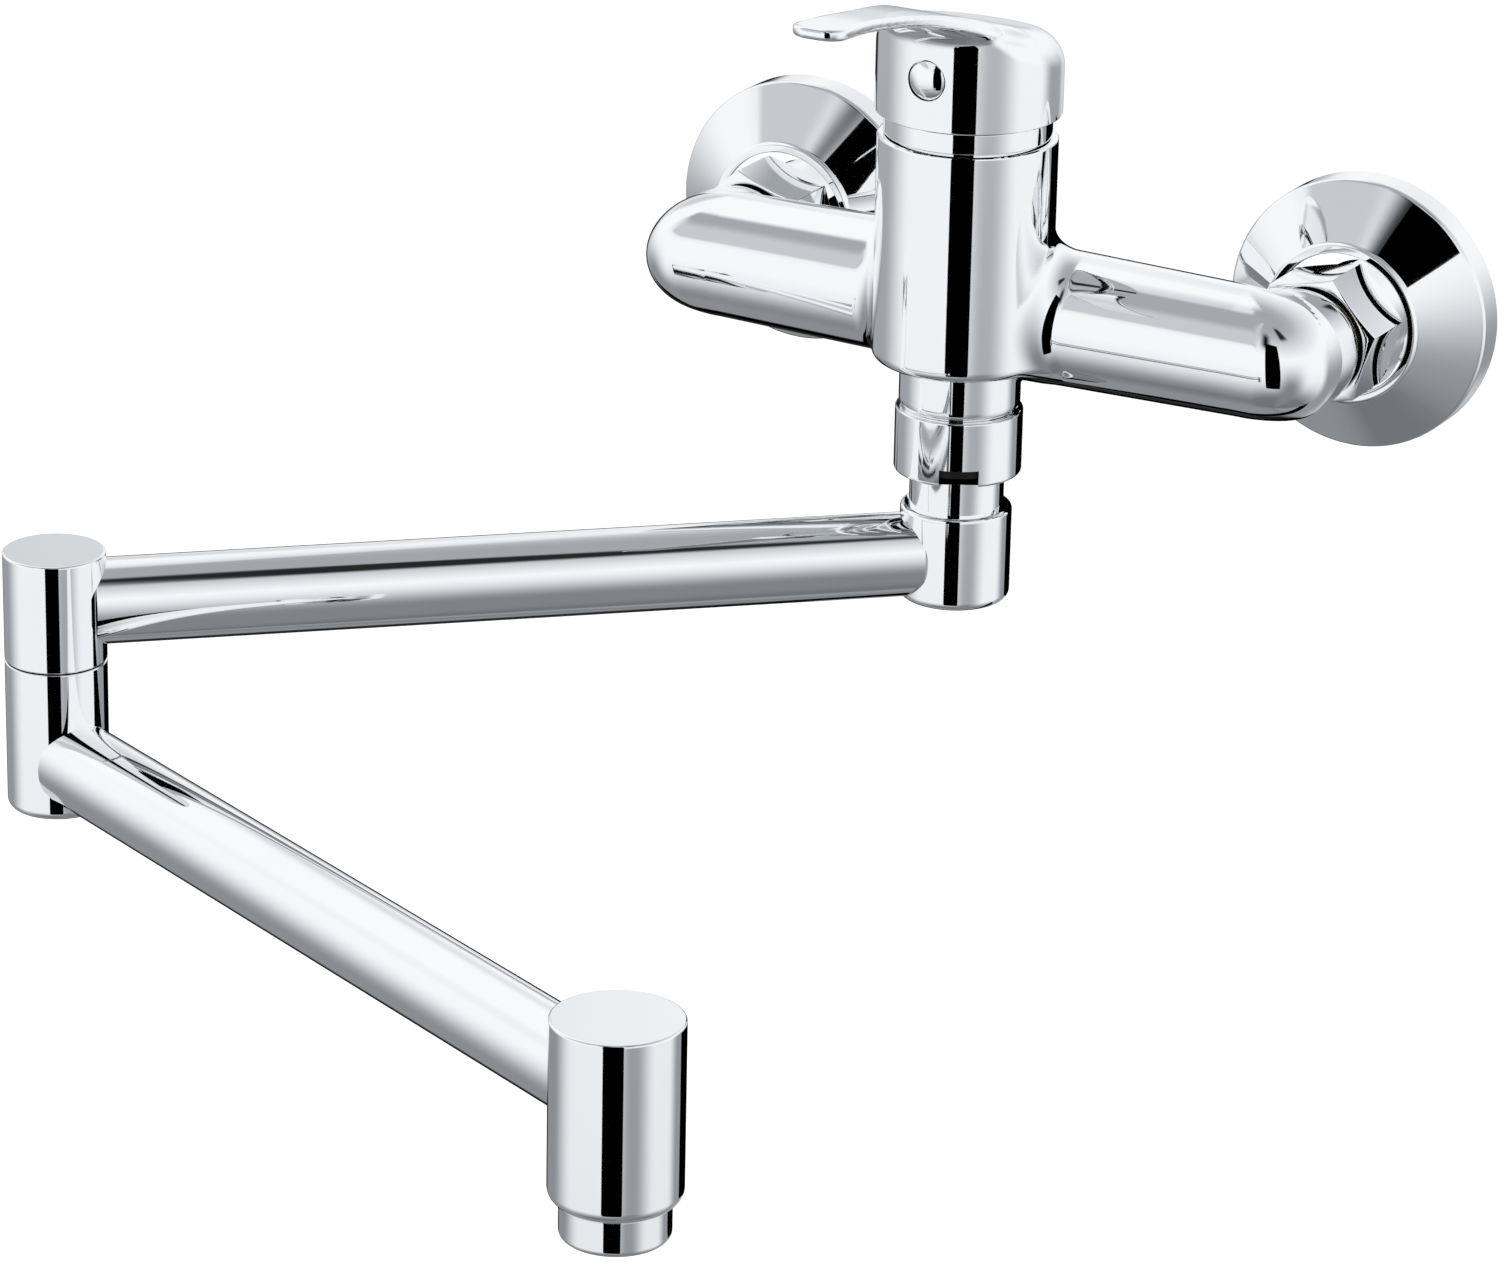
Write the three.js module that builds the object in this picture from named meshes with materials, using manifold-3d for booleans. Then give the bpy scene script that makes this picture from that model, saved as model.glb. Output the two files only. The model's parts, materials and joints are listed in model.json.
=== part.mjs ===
// Wall mounted pot filler: a single lever mixer body on two wall inlets, with a double jointed spout below.
// Millimetres, +Z up. The wall is the plane Y = 0 and the mixer stands out from it along -Y.
// The origin lies on the wall, midway between the two inlets.
import * as THREE from 'three';
import { mergeVertices } from 'three/addons/utils/BufferGeometryUtils.js';
import Module from 'manifold-3d';

const wasm = await Module();
wasm.setup();

// ---------------------------------------------------------------- driving dimensions

const GAP = 0.3; // between pieces that touch or seal on each other
const THREAD_GAP = 0.3; // radial, between a male and a female thread drawn plain
const RUNNING_GAP = 0.3; // between pieces that turn or slide on each other
const CUT_PAST = 2; // how far a cutting tool runs past the face it opens
const ROUND = 22; // sides of a large round
const SMALL_ROUND = 16; // sides of a small round
const TINY_ROUND = 12; // sides of a round that is small and hidden
const ARM_SIDES = 18; // sides of the body's arms

// Wall inlets, measured from the wall along -Y
const INLET_SPACING = 150;
const WALL_THREAD_RADIUS = 10.4; // G1/2, drawn plain
const WALL_THREAD_LENGTH = 15; // behind the wall plane
const UNION_THREAD_RADIUS = 12.3; // G3/4, drawn plain
const UNION_BORE = 7.5;
const UNION_OFFSET = 6; // eccentricity of the wall end, downwards
const UNION_COLLAR = 6; // thickness of the web that joins both ends
const ROSE_RADIUS = 32.7;
const ROSE_RIM_DEPTH = 7.5;
const ROSE_RIM_WALL = 2;
const ROSE_WALL = 1.2;
const ROSE_REACH = 16.8; // wall to the lip of the rose
const NUT_ACROSS_FLATS = 28.9;
const NUT_REACH = 34.2; // wall to the front of the union nut
const NUT_LENGTH = 18;
const NUT_FRONT_WALL = 3.1;
const NUT_CHAMFER = 1.4;
const TAIL_FLANGE_THICKNESS = 2.6;
const TAIL_NECK_RADIUS = 10.4;
const TAIL_BORE = 7;
const TAIL_THREAD_LENGTH = 8;
const WASHER_THICKNESS = 1.5;

// Mixer body
const VALVE_REACH = 64.2; // wall to the axis of the barrel
const BARREL_RADIUS = 21.1;
const BARREL_TOP = 46.2;
const BARREL_BOTTOM = -8.4;
const BARREL_BOTTOM_ROUND = 3;
const ARM_REACH = 52; // wall to the axis of the side arms
const ARM_RISE = 1.8; // the arms' axis above the inlets
const ARM_ROOT_RADIUS = 16.4; // on the barrel axis
const ARM_RADIUS = 15.9; // beside the barrel
const ARM_END_RADIUS = 15.2; // where the corner starts
const CORNER_END_RADIUS = 14.6; // where the corner ends
const CORNER_ROUND = 7.3; // of the arm's axis round the corner
const CORNER_SPREAD = 0.43; // how fast that round grows towards the outside of the corner
const ARM_BORE = 6.5;
const INLET_FACE_REACH = 35.8; // wall to the end of the elbow
const INLET_FACE_RADIUS = 13.2;
const CHAMBER_RADIUS = 17.6;
const CHAMBER_FLOOR = 12.5;
const CHAMBER_THREAD_RADIUS = 18.6;
const CHAMBER_THREAD_FLOOR = 34;

// Outlet under the body
const BOSS_RADIUS = 14.3;
const BOSS_BOTTOM = -20.3;
const BOSS_ROUND = 2.6;
const SPIGOT_RADIUS = 11.9;
const SPIGOT_BOTTOM = -29.5;
const OUTLET_BORE = 8.3;
const OUTLET_CEILING = -2;
const SWIVEL_NUT_RADIUS = 15.06;
const SWIVEL_NUT_TOP = -20;
const SWIVEL_NUT_BOTTOM = -35.8;
const SWIVEL_NUT_FLANGE = 1.5;
const NOTCH_WIDTH = 8;
const NOTCH_HEIGHT = 4;
const NOTCH_ANGLE = 29; // degrees round from the front
const NOTCH_COUNT = 2;
const SLIDE_RING_THICKNESS = 2;
const SLIDE_RING_RADIUS = 13.4;
const SLIDE_RING_SPLIT = 50; // degrees left open

// Cartridge, heights above the inlets
const SEAL_THICKNESS = 1.8;
const BASE_THICKNESS = 1.8;
const FIXED_DISC_THICKNESS = 3.5;
const FIXED_DISC_RADIUS = 12.7;
const MOVING_DISC_THICKNESS = 4.4;
const MOVING_DISC_RADIUS = 9;
const DISC_POCKET_DEPTH = 3;
const CARRIER_RADIUS = 12.6;
const CARRIER_STEM_RADIUS = 9.2;
const CARRIER_FLANGE_THICKNESS = 4.5;
const CARRIER_TOP = 46.5;
const HOUSING_WALL = 4.2;
const HOUSING_NECK_RADIUS = 14.6;
const HOUSING_SHOULDER = 33.7;
const HOUSING_TOP = 44.6;
const CARTRIDGE_NUT_TOP = 42.6;
const PORT_RADIUS = 2.4;
const PORT_OFFSET = 6.5;

// Trim ring and lever handle
const TRIM_RING_RADIUS = 19.6;
const TRIM_RING_BORE = 15.4;
const TRIM_RING_HEIGHT = 5;
const TRIM_SKIRT_WALL = 1.2;
const TRIM_SKIRT_DEPTH = 3;
const HANDLE_RADIUS = 21.8;
const HANDLE_WALL = 1.7;
const HANDLE_SHOULDER = 64.8; // where the rear of the cap starts to round over
const HANDLE_CROWN = 73.2; // top of the cap on its axis
const HANDLE_EDGE_ROUND = 9;
const LEVER_REACH = 76.5; // barrel axis to the tip
const LEVER_TIP_HEIGHT = 88.8;
const LEVER_TIP_HALF_WIDTH = 6.6;
const LEVER_TIP_ROUND = 5;
const LEVER_THICKNESS = 2.7;
const LEVER_TAPER = 1.1; // how much narrower each side of the blade would be at the cap than at its tip
const LEVER_EDGE = 0.5;
const BLADE_SINK = 0.25; // of the blade's root below the skin of the cap
const LEVER_ROOT_THICKNESS = 8;
const SPINDLE_PIVOT = 40;
const SPINDLE_LEAN = 12.5; // degrees, towards the front when the lever is down
const SPINDLE_WIDTH = 8;
const SPINDLE_DEPTH = 7;
const SPINDLE_UP = 27.5; // pivot to the top end
const SPINDLE_DOWN = 17; // pivot to the bottom end
const SPINDLE_TIP_RADIUS = 3.2;
const PIVOT_PIN_RADIUS = 2;
const SOCKET_BLOCK = 14; // width of the lever's socket for the spindle
const SOCKET_BOTTOM = 54;
const BUTTON_RADIUS = 4.4;
const BUTTON_HEIGHT = 63.7;
const BUTTON_DEPTH = 2.6;
const BUTTON_DOME = 0.9;
const SET_SCREW_RADIUS = 2.5;
const SET_SCREW_LENGTH = 6;

// Spout
const TUBE_RADIUS = 10.04;
const TUBE_WALL = 1.2;
const INNER_ARM_LENGTH = 213;
const OUTER_ARM_LENGTH = 224.2;
const INNER_ARM_REST = -138.02; // degrees round from +X
const OUTER_ARM_REST = -24.04;
const INNER_TUBE_HEIGHT = -56.6;
const OUTER_TUBE_HEIGHT = -93.55;
const NECK_RADIUS = 11.16;
const STEM_RADIUS = 8;
const STEM_BORE = 5.6;
const STEM_TOP = -12;
const PIVOT_RADIUS = 13.2;
const PIVOT_TOP = -44.3;
const PIVOT_BOTTOM = -67.5;
const PIVOT_WALL = 2.6;
const EDGE_ROUND = 2;
const TOP_EDGE = 0.5;
const ELBOW_RADIUS = 11.83;
const ELBOW_TOP = -43.7;
const ELBOW_SEAM = -69.7;
const ELBOW_BOTTOM = -106.2;
const ELBOW_BORE = 8.3;
const ELBOW_STEM_TOP = -48;
const ELBOW_STEM_BORE = 5;
const TUBE_PORT = 6;
const O_RING_SECTION = 0.6;
const O_RING_GROOVE = 1.5;
const SNAP_RING_SECTION = 0.6;
const SNAP_RING_OPENING = 0.5; // radians left open

// Head and aerator
const HEAD_RADIUS = 14.37;
const HEAD_TOP = -76.9;
const HEAD_BOTTOM = -117.8;
const HEAD_ROUND = 3;
const HEAD_CHAMBER_RADIUS = 9.3;
const HEAD_CHAMBER_TOP = -82;
const AERATOR_RADIUS = 11.91;
const AERATOR_BOTTOM = -126.1;
const AERATOR_SHOULDER = -114.6;
const AERATOR_THREAD_RADIUS = 10.6;
const AERATOR_THREAD_TOP = -108.4;
const AERATOR_LIP_RADIUS = 9;
const AERATOR_LIP = 1.2;
const AERATOR_CORE_RADIUS = 9.5;
const AERATOR_CORE_HEIGHT = 9;
const AERATOR_CELL = 1.45; // radius of a cell of the outlet grille
const AERATOR_CELL_RINGS = 2;
const AERATOR_CELL_PITCH = 3.4;
const AERATOR_WASHER_THICKNESS = 1.6;

// ---------------------------------------------------------------- finishes

const finish = (color, roughness, metalness) =>
  new THREE.MeshStandardMaterial({ color, roughness, metalness });
const chrome = () => finish(0xe4e6e8, 0.06, 1);
const brass = () => finish(0xb99a55, 0.35, 1);
const steel = () => finish(0xb4b6b8, 0.3, 1);
const ceramic = () => finish(0xe9e4da, 0.25, 0);
const rubber = () => finish(0x1a1a1a, 0.8, 0);
const blackPlastic = () => finish(0x101010, 0.4, 0);
const whitePlastic = () => finish(0xe6e6e2, 0.45, 0);

// ---------------------------------------------------------------- solids

const radians = THREE.MathUtils.degToRad;

function weld(geometry) {
  // Shared vertices, no collapsed triangles, faces pointing out.
  const bare = new THREE.BufferGeometry();
  bare.setAttribute('position', geometry.getAttribute('position').clone());
  if (geometry.index) {
    bare.setIndex(geometry.index.clone());
  }
  const welded = mergeVertices(bare, 1e-4);
  const place = welded.getAttribute('position');
  const corner = (i) => new THREE.Vector3().fromBufferAttribute(place, i);
  const kept = [];
  let volume = 0;
  for (let i = 0; i < welded.index.count; i += 3) {
    const [a, b, c] = [0, 1, 2].map((k) => welded.index.getX(i + k));
    if (a !== b && b !== c && c !== a) {
      kept.push([a, b, c]);
      volume += corner(a).dot(corner(b).cross(corner(c)));
    }
  }
  welded.setIndex(kept.flatMap(([a, b, c]) => (volume > 0 ? [a, b, c] : [a, c, b])));
  return welded;
}

function solid(geometry) {
  const welded = weld(geometry);
  return new wasm.Manifold(
    new wasm.Mesh({
      numProp: 3,
      vertProperties: new Float32Array(welded.getAttribute('position').array),
      triVerts: new Uint32Array(welded.index.array),
    }),
  );
}

function geometryOf(manifold) {
  const mesh = manifold.getMesh();
  const geometry = new THREE.BufferGeometry();
  geometry.setAttribute('position', new THREE.BufferAttribute(new Float32Array(mesh.vertProperties), 3));
  geometry.setIndex(new THREE.BufferAttribute(new Uint32Array(mesh.triVerts), 1));
  return geometry;
}

// A turned piece about Z: profile points are [radius, height], in order round the section.
function turned(profile, sides = ROUND) {
  const points = profile.map(([radius, height]) => new THREE.Vector2(radius, height));
  const closed = points[0].x > 0 ? [...points, points[0].clone()] : points;
  return new THREE.LatheGeometry(closed, sides).rotateX(Math.PI / 2);
}

// Points of a quarter round from one height and radius to another, bulging outwards.
function quarter(fromRadius, fromHeight, toRadius, toHeight, steps = 3) {
  const points = [];
  for (let i = 0; i <= steps; i += 1) {
    const angle = (i / steps) * (Math.PI / 2);
    const vertical = Math.abs(toRadius) < Math.abs(fromRadius);
    const u = vertical ? 1 - Math.cos(angle) : Math.sin(angle);
    const v = vertical ? Math.sin(angle) : 1 - Math.cos(angle);
    points.push([fromRadius + (toRadius - fromRadius) * u, fromHeight + (toHeight - fromHeight) * v]);
  }
  return points;
}

const tube = (outer, inner, low, high, sides = ROUND) =>
  turned([[inner, low], [outer, low], [outer, high], [inner, high]], sides);
const rod = (radius, low, high, sides = SMALL_ROUND) =>
  turned([[0, low], [radius, low], [radius, high], [0, high]], sides);

// A round bar between two points, for drilled passages.
function passage(from, to, radius, sides = TINY_ROUND) {
  const along = new THREE.Vector3().subVectors(to, from);
  const geometry = rod(radius, 0, along.length(), sides);
  const upright = new THREE.Vector3(0, 0, 1);
  geometry.applyQuaternion(new THREE.Quaternion().setFromUnitVectors(upright, along.normalize()));
  return geometry.translate(from.x, from.y, from.z);
}

const block = (width, depth, low, high) =>
  new THREE.BoxGeometry(width, depth, high - low).translate(0, 0, (low + high) / 2);

const mirrorPair = (make) => [-1, 1].map(make);

function cut(body, ...tools) {
  return tools.reduce((left, tool) => left.subtract(solid(tool)), body);
}

function named(name, geometry, material) {
  const mesh = new THREE.Mesh(weld(geometry), material);
  mesh.name = name;
  return mesh;
}

// A ring of round section in a groove.
const ring = (radius, section, height) =>
  new THREE.TorusGeometry(radius, section, 4, TINY_ROUND).translate(0, 0, height);

// ---------------------------------------------------------------- mixer body

// One round section as a ring of points: `place` takes the distances from its centre, outwards and up.
function sectionRing(radius, sides, place) {
  const points = [];
  for (let i = 0; i < sides; i += 1) {
    const angle = (i / sides) * Math.PI * 2;
    points.push(place(radius * Math.cos(angle), radius * Math.sin(angle)));
  }
  return points;
}

function armStations(sides) {
  const inletX = INLET_SPACING / 2;
  const { lerp } = THREE.MathUtils;
  const cornerPoint = (w, turn) => {
    const round = CORNER_ROUND + CORNER_SPREAD * w;
    const centre = [inletX + w - round, -(ARM_REACH + w - round)];
    return [centre[0] + round * Math.cos(turn), centre[1] - round * Math.sin(turn)];
  };
  const rings = [];
  const endSteps = 2;
  for (let i = 0; i < endSteps; i += 1) {
    const share = i / endSteps;
    const radius = lerp(INLET_FACE_RADIUS, CORNER_END_RADIUS, Math.sqrt(share * (2 - share)));
    rings.push(
      sectionRing(radius, sides, (w, z) => {
        const y = lerp(-INLET_FACE_REACH, cornerPoint((w * CORNER_END_RADIUS) / radius, 0)[1], share);
        return [inletX + w, y, z];
      }),
    );
  }
  const cornerSteps = 5;
  for (let i = 0; i <= cornerSteps; i += 1) {
    const share = i / cornerSteps;
    const radius = lerp(CORNER_END_RADIUS, ARM_END_RADIUS, share);
    const rise = ARM_RISE * THREE.MathUtils.smoothstep(share, -0.4, 1);
    rings.push(sectionRing(radius, sides, (w, z) => [...cornerPoint(w, (share * Math.PI) / 2), z + rise]));
  }
  const straight = [
    [BARREL_RADIUS + 5, ARM_RADIUS],
    [BARREL_RADIUS * 0.6, ARM_ROOT_RADIUS],
  ];
  for (const [x, radius] of straight) {
    rings.push(sectionRing(radius, sides, (w, z) => [x, -(ARM_REACH + w), z + ARM_RISE]));
  }
  return rings;
}

// Skin over a row of rings with the same number of points, closed by a fan at each end.
function skin(rings) {
  const sides = rings[0].length;
  const position = rings.flat(2);
  const index = [];
  const at = (ring_, i) => ring_ * sides + (i % sides);
  for (let r = 0; r + 1 < rings.length; r += 1) {
    for (let i = 0; i < sides; i += 1) {
      index.push(at(r, i), at(r + 1, i), at(r + 1, i + 1));
      index.push(at(r, i), at(r + 1, i + 1), at(r, i + 1));
    }
  }
  for (let i = 1; i + 1 < sides; i += 1) {
    index.push(at(0, 0), at(0, i), at(0, i + 1));
    index.push(at(rings.length - 1, 0), at(rings.length - 1, i + 1), at(rings.length - 1, i));
  }
  const geometry = new THREE.BufferGeometry();
  geometry.setAttribute('position', new THREE.Float32BufferAttribute(position, 3));
  geometry.setIndex(index);
  return geometry;
}

function sideArms() {
  const right = armStations(ARM_SIDES);
  const left = right.map((points) => points.map(([x, y, z]) => [-x, y, z])).reverse();
  return skin([...right, ...left]);
}

function valveBody() {
  const roundTop = BARREL_BOTTOM + BARREL_BOTTOM_ROUND;
  const atValve = (geometry) => geometry.translate(0, -VALVE_REACH, 0);
  const barrel = turned([
    [0, BARREL_BOTTOM],
    ...quarter(BARREL_RADIUS - BARREL_BOTTOM_ROUND, BARREL_BOTTOM, BARREL_RADIUS, roundTop),
    [BARREL_RADIUS, BARREL_TOP - TOP_EDGE],
    [BARREL_RADIUS - TOP_EDGE, BARREL_TOP],
    [0, BARREL_TOP],
  ]);
  const boss = turned([
    [0, SPIGOT_BOTTOM],
    [SPIGOT_RADIUS - TOP_EDGE, SPIGOT_BOTTOM],
    [SPIGOT_RADIUS, SPIGOT_BOTTOM + TOP_EDGE],
    ...quarter(SPIGOT_RADIUS, BOSS_BOTTOM, BOSS_RADIUS, BOSS_BOTTOM + BOSS_ROUND, 2),
    [BOSS_RADIUS, roundTop],
    [0, roundTop],
  ]);
  const inletX = INLET_SPACING / 2;
  const boreEnd = OUTLET_BORE + 3;
  const outletPort = rod(PORT_RADIUS + 1, OUTLET_CEILING - 1, CHAMBER_FLOOR + CUT_PAST, TINY_ROUND)
    .translate(0, -PORT_OFFSET + 1, 0);
  const inletBores = mirrorPair((side) => [
    passage(
      new THREE.Vector3(side * (inletX + ARM_BORE), -ARM_REACH, ARM_RISE),
      new THREE.Vector3(side * boreEnd, -ARM_REACH, ARM_RISE),
      ARM_BORE,
    ),
    passage(
      new THREE.Vector3(side * inletX, -ARM_REACH, 0),
      new THREE.Vector3(side * inletX, -INLET_FACE_REACH + CUT_PAST, 0),
      TAIL_BORE + TAIL_SLEEVE_WALL + THREAD_GAP,
      SMALL_ROUND,
    ),
    passage(
      new THREE.Vector3(side * (boreEnd + PORT_RADIUS), -ARM_REACH, ARM_RISE),
      new THREE.Vector3(side * PORT_OFFSET, -VALVE_REACH + PORT_OFFSET, CHAMBER_FLOOR + CUT_PAST),
      PORT_RADIUS,
    ),
  ]).flat();
  return cut(
    solid(atValve(barrel)).add(solid(atValve(boss))).add(solid(sideArms())),
    ...inletBores,
    atValve(rod(CHAMBER_RADIUS, CHAMBER_FLOOR, BARREL_TOP + CUT_PAST, ROUND)),
    atValve(rod(CHAMBER_THREAD_RADIUS, CHAMBER_THREAD_FLOOR, BARREL_TOP + CUT_PAST, ROUND)),
    atValve(rod(OUTLET_BORE, SPIGOT_BOTTOM - CUT_PAST, OUTLET_CEILING)),
    atValve(outletPort),
  );
}

// ---------------------------------------------------------------- wall inlets, heights are from the wall

const TAIL_SLEEVE_WALL = 1.5;
const NUT_BORE = UNION_THREAD_RADIUS + THREAD_GAP;
const TAIL_FLANGE_TOP = NUT_REACH - NUT_FRONT_WALL - GAP;
const TAIL_FACE = TAIL_FLANGE_TOP - TAIL_FLANGE_THICKNESS;
const UNION_FACE = TAIL_FACE - GAP - WASHER_THICKNESS - GAP;
const NUT_CORNER = NUT_ACROSS_FLATS / 2 / Math.cos(Math.PI / 6);

function rose() {
  const lip = NUT_CORNER + GAP + 0.1;
  const shoulder = ROSE_RIM_DEPTH;
  const outside = [[ROSE_RADIUS, 0], [ROSE_RADIUS, shoulder - 0.9], [ROSE_RADIUS - 0.9, shoulder]];
  const inside = [];
  const steps = 3;
  for (let i = 1; i <= steps; i += 1) {
    const share = i / steps;
    const radius = THREE.MathUtils.lerp(ROSE_RADIUS - 0.9, lip + ROSE_WALL, share);
    const height = shoulder + (ROSE_REACH - 0.6 - shoulder) * (share + 0.16 * share * (share - 1));
    outside.push([radius, height]);
    if (i !== 2) {
      inside.unshift([Math.max(radius - ROSE_WALL * 0.7, lip), height - ROSE_WALL]);
    }
  }
  return turned([
    ...outside,
    [lip + ROSE_WALL / 2, ROSE_REACH],
    [lip, ROSE_REACH - 0.3],
    ...inside,
    [ROSE_RADIUS - ROSE_RIM_WALL, shoulder - ROSE_WALL],
    [ROSE_RADIUS - ROSE_RIM_WALL, 0],
  ]);
}

function unionNut() {
  const back = NUT_REACH - NUT_LENGTH;
  const hexagon = new THREE.CylinderGeometry(NUT_CORNER, NUT_CORNER, NUT_LENGTH, 6)
    .rotateX(Math.PI / 2)
    .translate(0, 0, back + NUT_LENGTH / 2);
  const flat = NUT_ACROSS_FLATS / 2;
  const chamfered = turned([
    [0, back],
    [flat, back],
    [NUT_CORNER + GAP, back + NUT_CHAMFER],
    [NUT_CORNER + GAP, NUT_REACH - NUT_CHAMFER],
    [flat, NUT_REACH],
    [0, NUT_REACH],
  ]);
  return geometryOf(
    cut(
      solid(hexagon).intersect(solid(chamfered)),
      rod(NUT_BORE, back - CUT_PAST, NUT_REACH - NUT_FRONT_WALL),
      rod(TAIL_NECK_RADIUS + RUNNING_GAP, back, NUT_REACH + CUT_PAST),
    ),
  );
}

// The threaded tail that holds the nut on the body: a sleeve in the elbow, a neck and a flange.
function inletTail() {
  const sleeve = TAIL_BORE + TAIL_SLEEVE_WALL;
  return turned(
    [
      [TAIL_BORE, TAIL_FACE],
      [UNION_THREAD_RADIUS - GAP, TAIL_FACE],
      [UNION_THREAD_RADIUS - GAP, TAIL_FLANGE_TOP],
      [TAIL_NECK_RADIUS, TAIL_FLANGE_TOP],
      [TAIL_NECK_RADIUS, INLET_FACE_REACH - GAP],
      [sleeve, INLET_FACE_REACH - GAP],
      [sleeve, INLET_FACE_REACH + TAIL_THREAD_LENGTH],
      [TAIL_BORE, INLET_FACE_REACH + TAIL_THREAD_LENGTH],
    ],
    TINY_ROUND,
  );
}

function unionWasher() {
  return tube(UNION_THREAD_RADIUS - 2 * GAP, UNION_BORE, UNION_FACE + GAP, TAIL_FACE - GAP, TINY_ROUND);
}

function eccentricUnion() {
  const webBack = NUT_REACH - NUT_LENGTH - UNION_COLLAR - 2;
  const web = new THREE.Shape();
  web.absarc(0, 0, UNION_THREAD_RADIUS, 0, Math.PI, false);
  web.absarc(0, -UNION_OFFSET, UNION_THREAD_RADIUS, Math.PI, Math.PI * 2, false);
  web.closePath();
  const curveSegments = SMALL_ROUND / 2;
  const collar = new THREE.ExtrudeGeometry(web, { depth: UNION_COLLAR, bevelEnabled: false, curveSegments });
  const front = rod(UNION_THREAD_RADIUS, webBack, UNION_FACE);
  const back = turned(
    [
      [0, -WALL_THREAD_LENGTH],
      [WALL_THREAD_RADIUS - 1, -WALL_THREAD_LENGTH],
      [WALL_THREAD_RADIUS, 1 - WALL_THREAD_LENGTH],
      [WALL_THREAD_RADIUS, webBack + UNION_COLLAR / 2],
      [0, webBack + UNION_COLLAR / 2],
    ],
    SMALL_ROUND,
  ).translate(0, -UNION_OFFSET, 0);
  const middle = webBack + UNION_COLLAR / 2;
  return geometryOf(
    cut(
      solid(collar.translate(0, 0, webBack)).add(solid(front)).add(solid(back)),
      rod(UNION_BORE, middle - 1, UNION_FACE + CUT_PAST),
      rod(UNION_BORE - 1, -WALL_THREAD_LENGTH - CUT_PAST, middle + 1).translate(0, -UNION_OFFSET, 0),
    ),
  );
}

function inlet(side, word) {
  const group = new THREE.Group();
  group.position.set((side * INLET_SPACING) / 2, 0, 0);
  group.rotation.x = Math.PI / 2;
  group.add(
    named(`rose_${word}`, rose(), chrome()),
    named(`union_nut_${word}`, unionNut(), chrome()),
    named(`inlet_tail_${word}`, inletTail(), brass()),
    named(`union_washer_${word}`, unionWasher(), rubber()),
    named(`eccentric_union_${word}`, eccentricUnion(), chrome()),
  );
  return group;
}

// ---------------------------------------------------------------- outlet collar

function notchTools(nutBottom, height, reach) {
  const tools = [];
  for (let i = 0; i < NOTCH_COUNT; i += 1) {
    tools.push(
      block(NOTCH_WIDTH, reach, nutBottom - CUT_PAST, nutBottom + height)
        .translate(0, -reach / 2 - SPIGOT_RADIUS + 1, 0)
        .rotateZ(radians(NOTCH_ANGLE) + (i * Math.PI * 2) / NOTCH_COUNT),
    );
  }
  return tools;
}

const SLIDE_RING_BOTTOM = SWIVEL_NUT_BOTTOM + SWIVEL_NUT_FLANGE + GAP;
const SLIDE_RING_TOP = SLIDE_RING_BOTTOM + SLIDE_RING_THICKNESS;

function swivelNut() {
  const threadBore = SPIGOT_RADIUS + THREAD_GAP;
  const ringRoom = SLIDE_RING_RADIUS + GAP;
  const nut = turned([
    [NECK_RADIUS + RUNNING_GAP, SWIVEL_NUT_BOTTOM],
    ...quarter(SWIVEL_NUT_RADIUS - 1, SWIVEL_NUT_BOTTOM, SWIVEL_NUT_RADIUS, SWIVEL_NUT_BOTTOM + 1, 3),
    [SWIVEL_NUT_RADIUS, SWIVEL_NUT_TOP - 0.4],
    [SWIVEL_NUT_RADIUS - 0.4, SWIVEL_NUT_TOP],
    [ringRoom, SWIVEL_NUT_TOP],
    [threadBore, SWIVEL_NUT_TOP - 1.6],
    [threadBore, SPIGOT_BOTTOM - GAP],
    [ringRoom, SPIGOT_BOTTOM - GAP - 1],
    [ringRoom, SWIVEL_NUT_BOTTOM + SWIVEL_NUT_FLANGE],
    [NECK_RADIUS + RUNNING_GAP, SWIVEL_NUT_BOTTOM + SWIVEL_NUT_FLANGE],
  ]);
  return geometryOf(cut(solid(nut), ...notchTools(SWIVEL_NUT_BOTTOM, NOTCH_HEIGHT, SWIVEL_NUT_RADIUS)));
}

function slideRing() {
  const open = radians(SLIDE_RING_SPLIT);
  const inner = STEM_GROOVE_RADIUS + RUNNING_GAP;
  const shape = new THREE.Shape();
  const start = Math.PI / 2 + open / 2;
  const end = Math.PI / 2 - open / 2 + Math.PI * 2;
  shape.absarc(0, 0, SLIDE_RING_RADIUS, start, end, false);
  shape.absarc(0, 0, inner, end, start, true);
  shape.closePath();
  const flat = new THREE.ExtrudeGeometry(shape, {
    depth: SLIDE_RING_THICKNESS,
    bevelEnabled: false,
    curveSegments: SMALL_ROUND / 2,
  });
  return flat.translate(0, 0, SLIDE_RING_BOTTOM);
}

// ---------------------------------------------------------------- cartridge

const SEAL_BOTTOM = CHAMBER_FLOOR + GAP;
const BASE_BOTTOM = SEAL_BOTTOM + SEAL_THICKNESS + GAP;
const HOUSING_BOTTOM = BASE_BOTTOM + BASE_THICKNESS + GAP;
const FIXED_DISC_TOP = HOUSING_BOTTOM + FIXED_DISC_THICKNESS;
const MOVING_DISC_BOTTOM = FIXED_DISC_TOP + RUNNING_GAP;
const MOVING_DISC_TOP = MOVING_DISC_BOTTOM + MOVING_DISC_THICKNESS;
const CARRIER_BOTTOM = MOVING_DISC_TOP + RUNNING_GAP;
const HOUSING_RADIUS = CHAMBER_RADIUS - GAP;

function ported(radius, low, high) {
  const port = (size) => rod(size, low - 1, high + 1, 10);
  const tools = mirrorPair((side) => port(PORT_RADIUS).translate(side * PORT_OFFSET, PORT_OFFSET, 0));
  const outlet = port(PORT_RADIUS + 1).translate(0, -PORT_OFFSET + 1, 0);
  return geometryOf(cut(solid(rod(radius, low, high)), ...tools, outlet));
}

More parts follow.
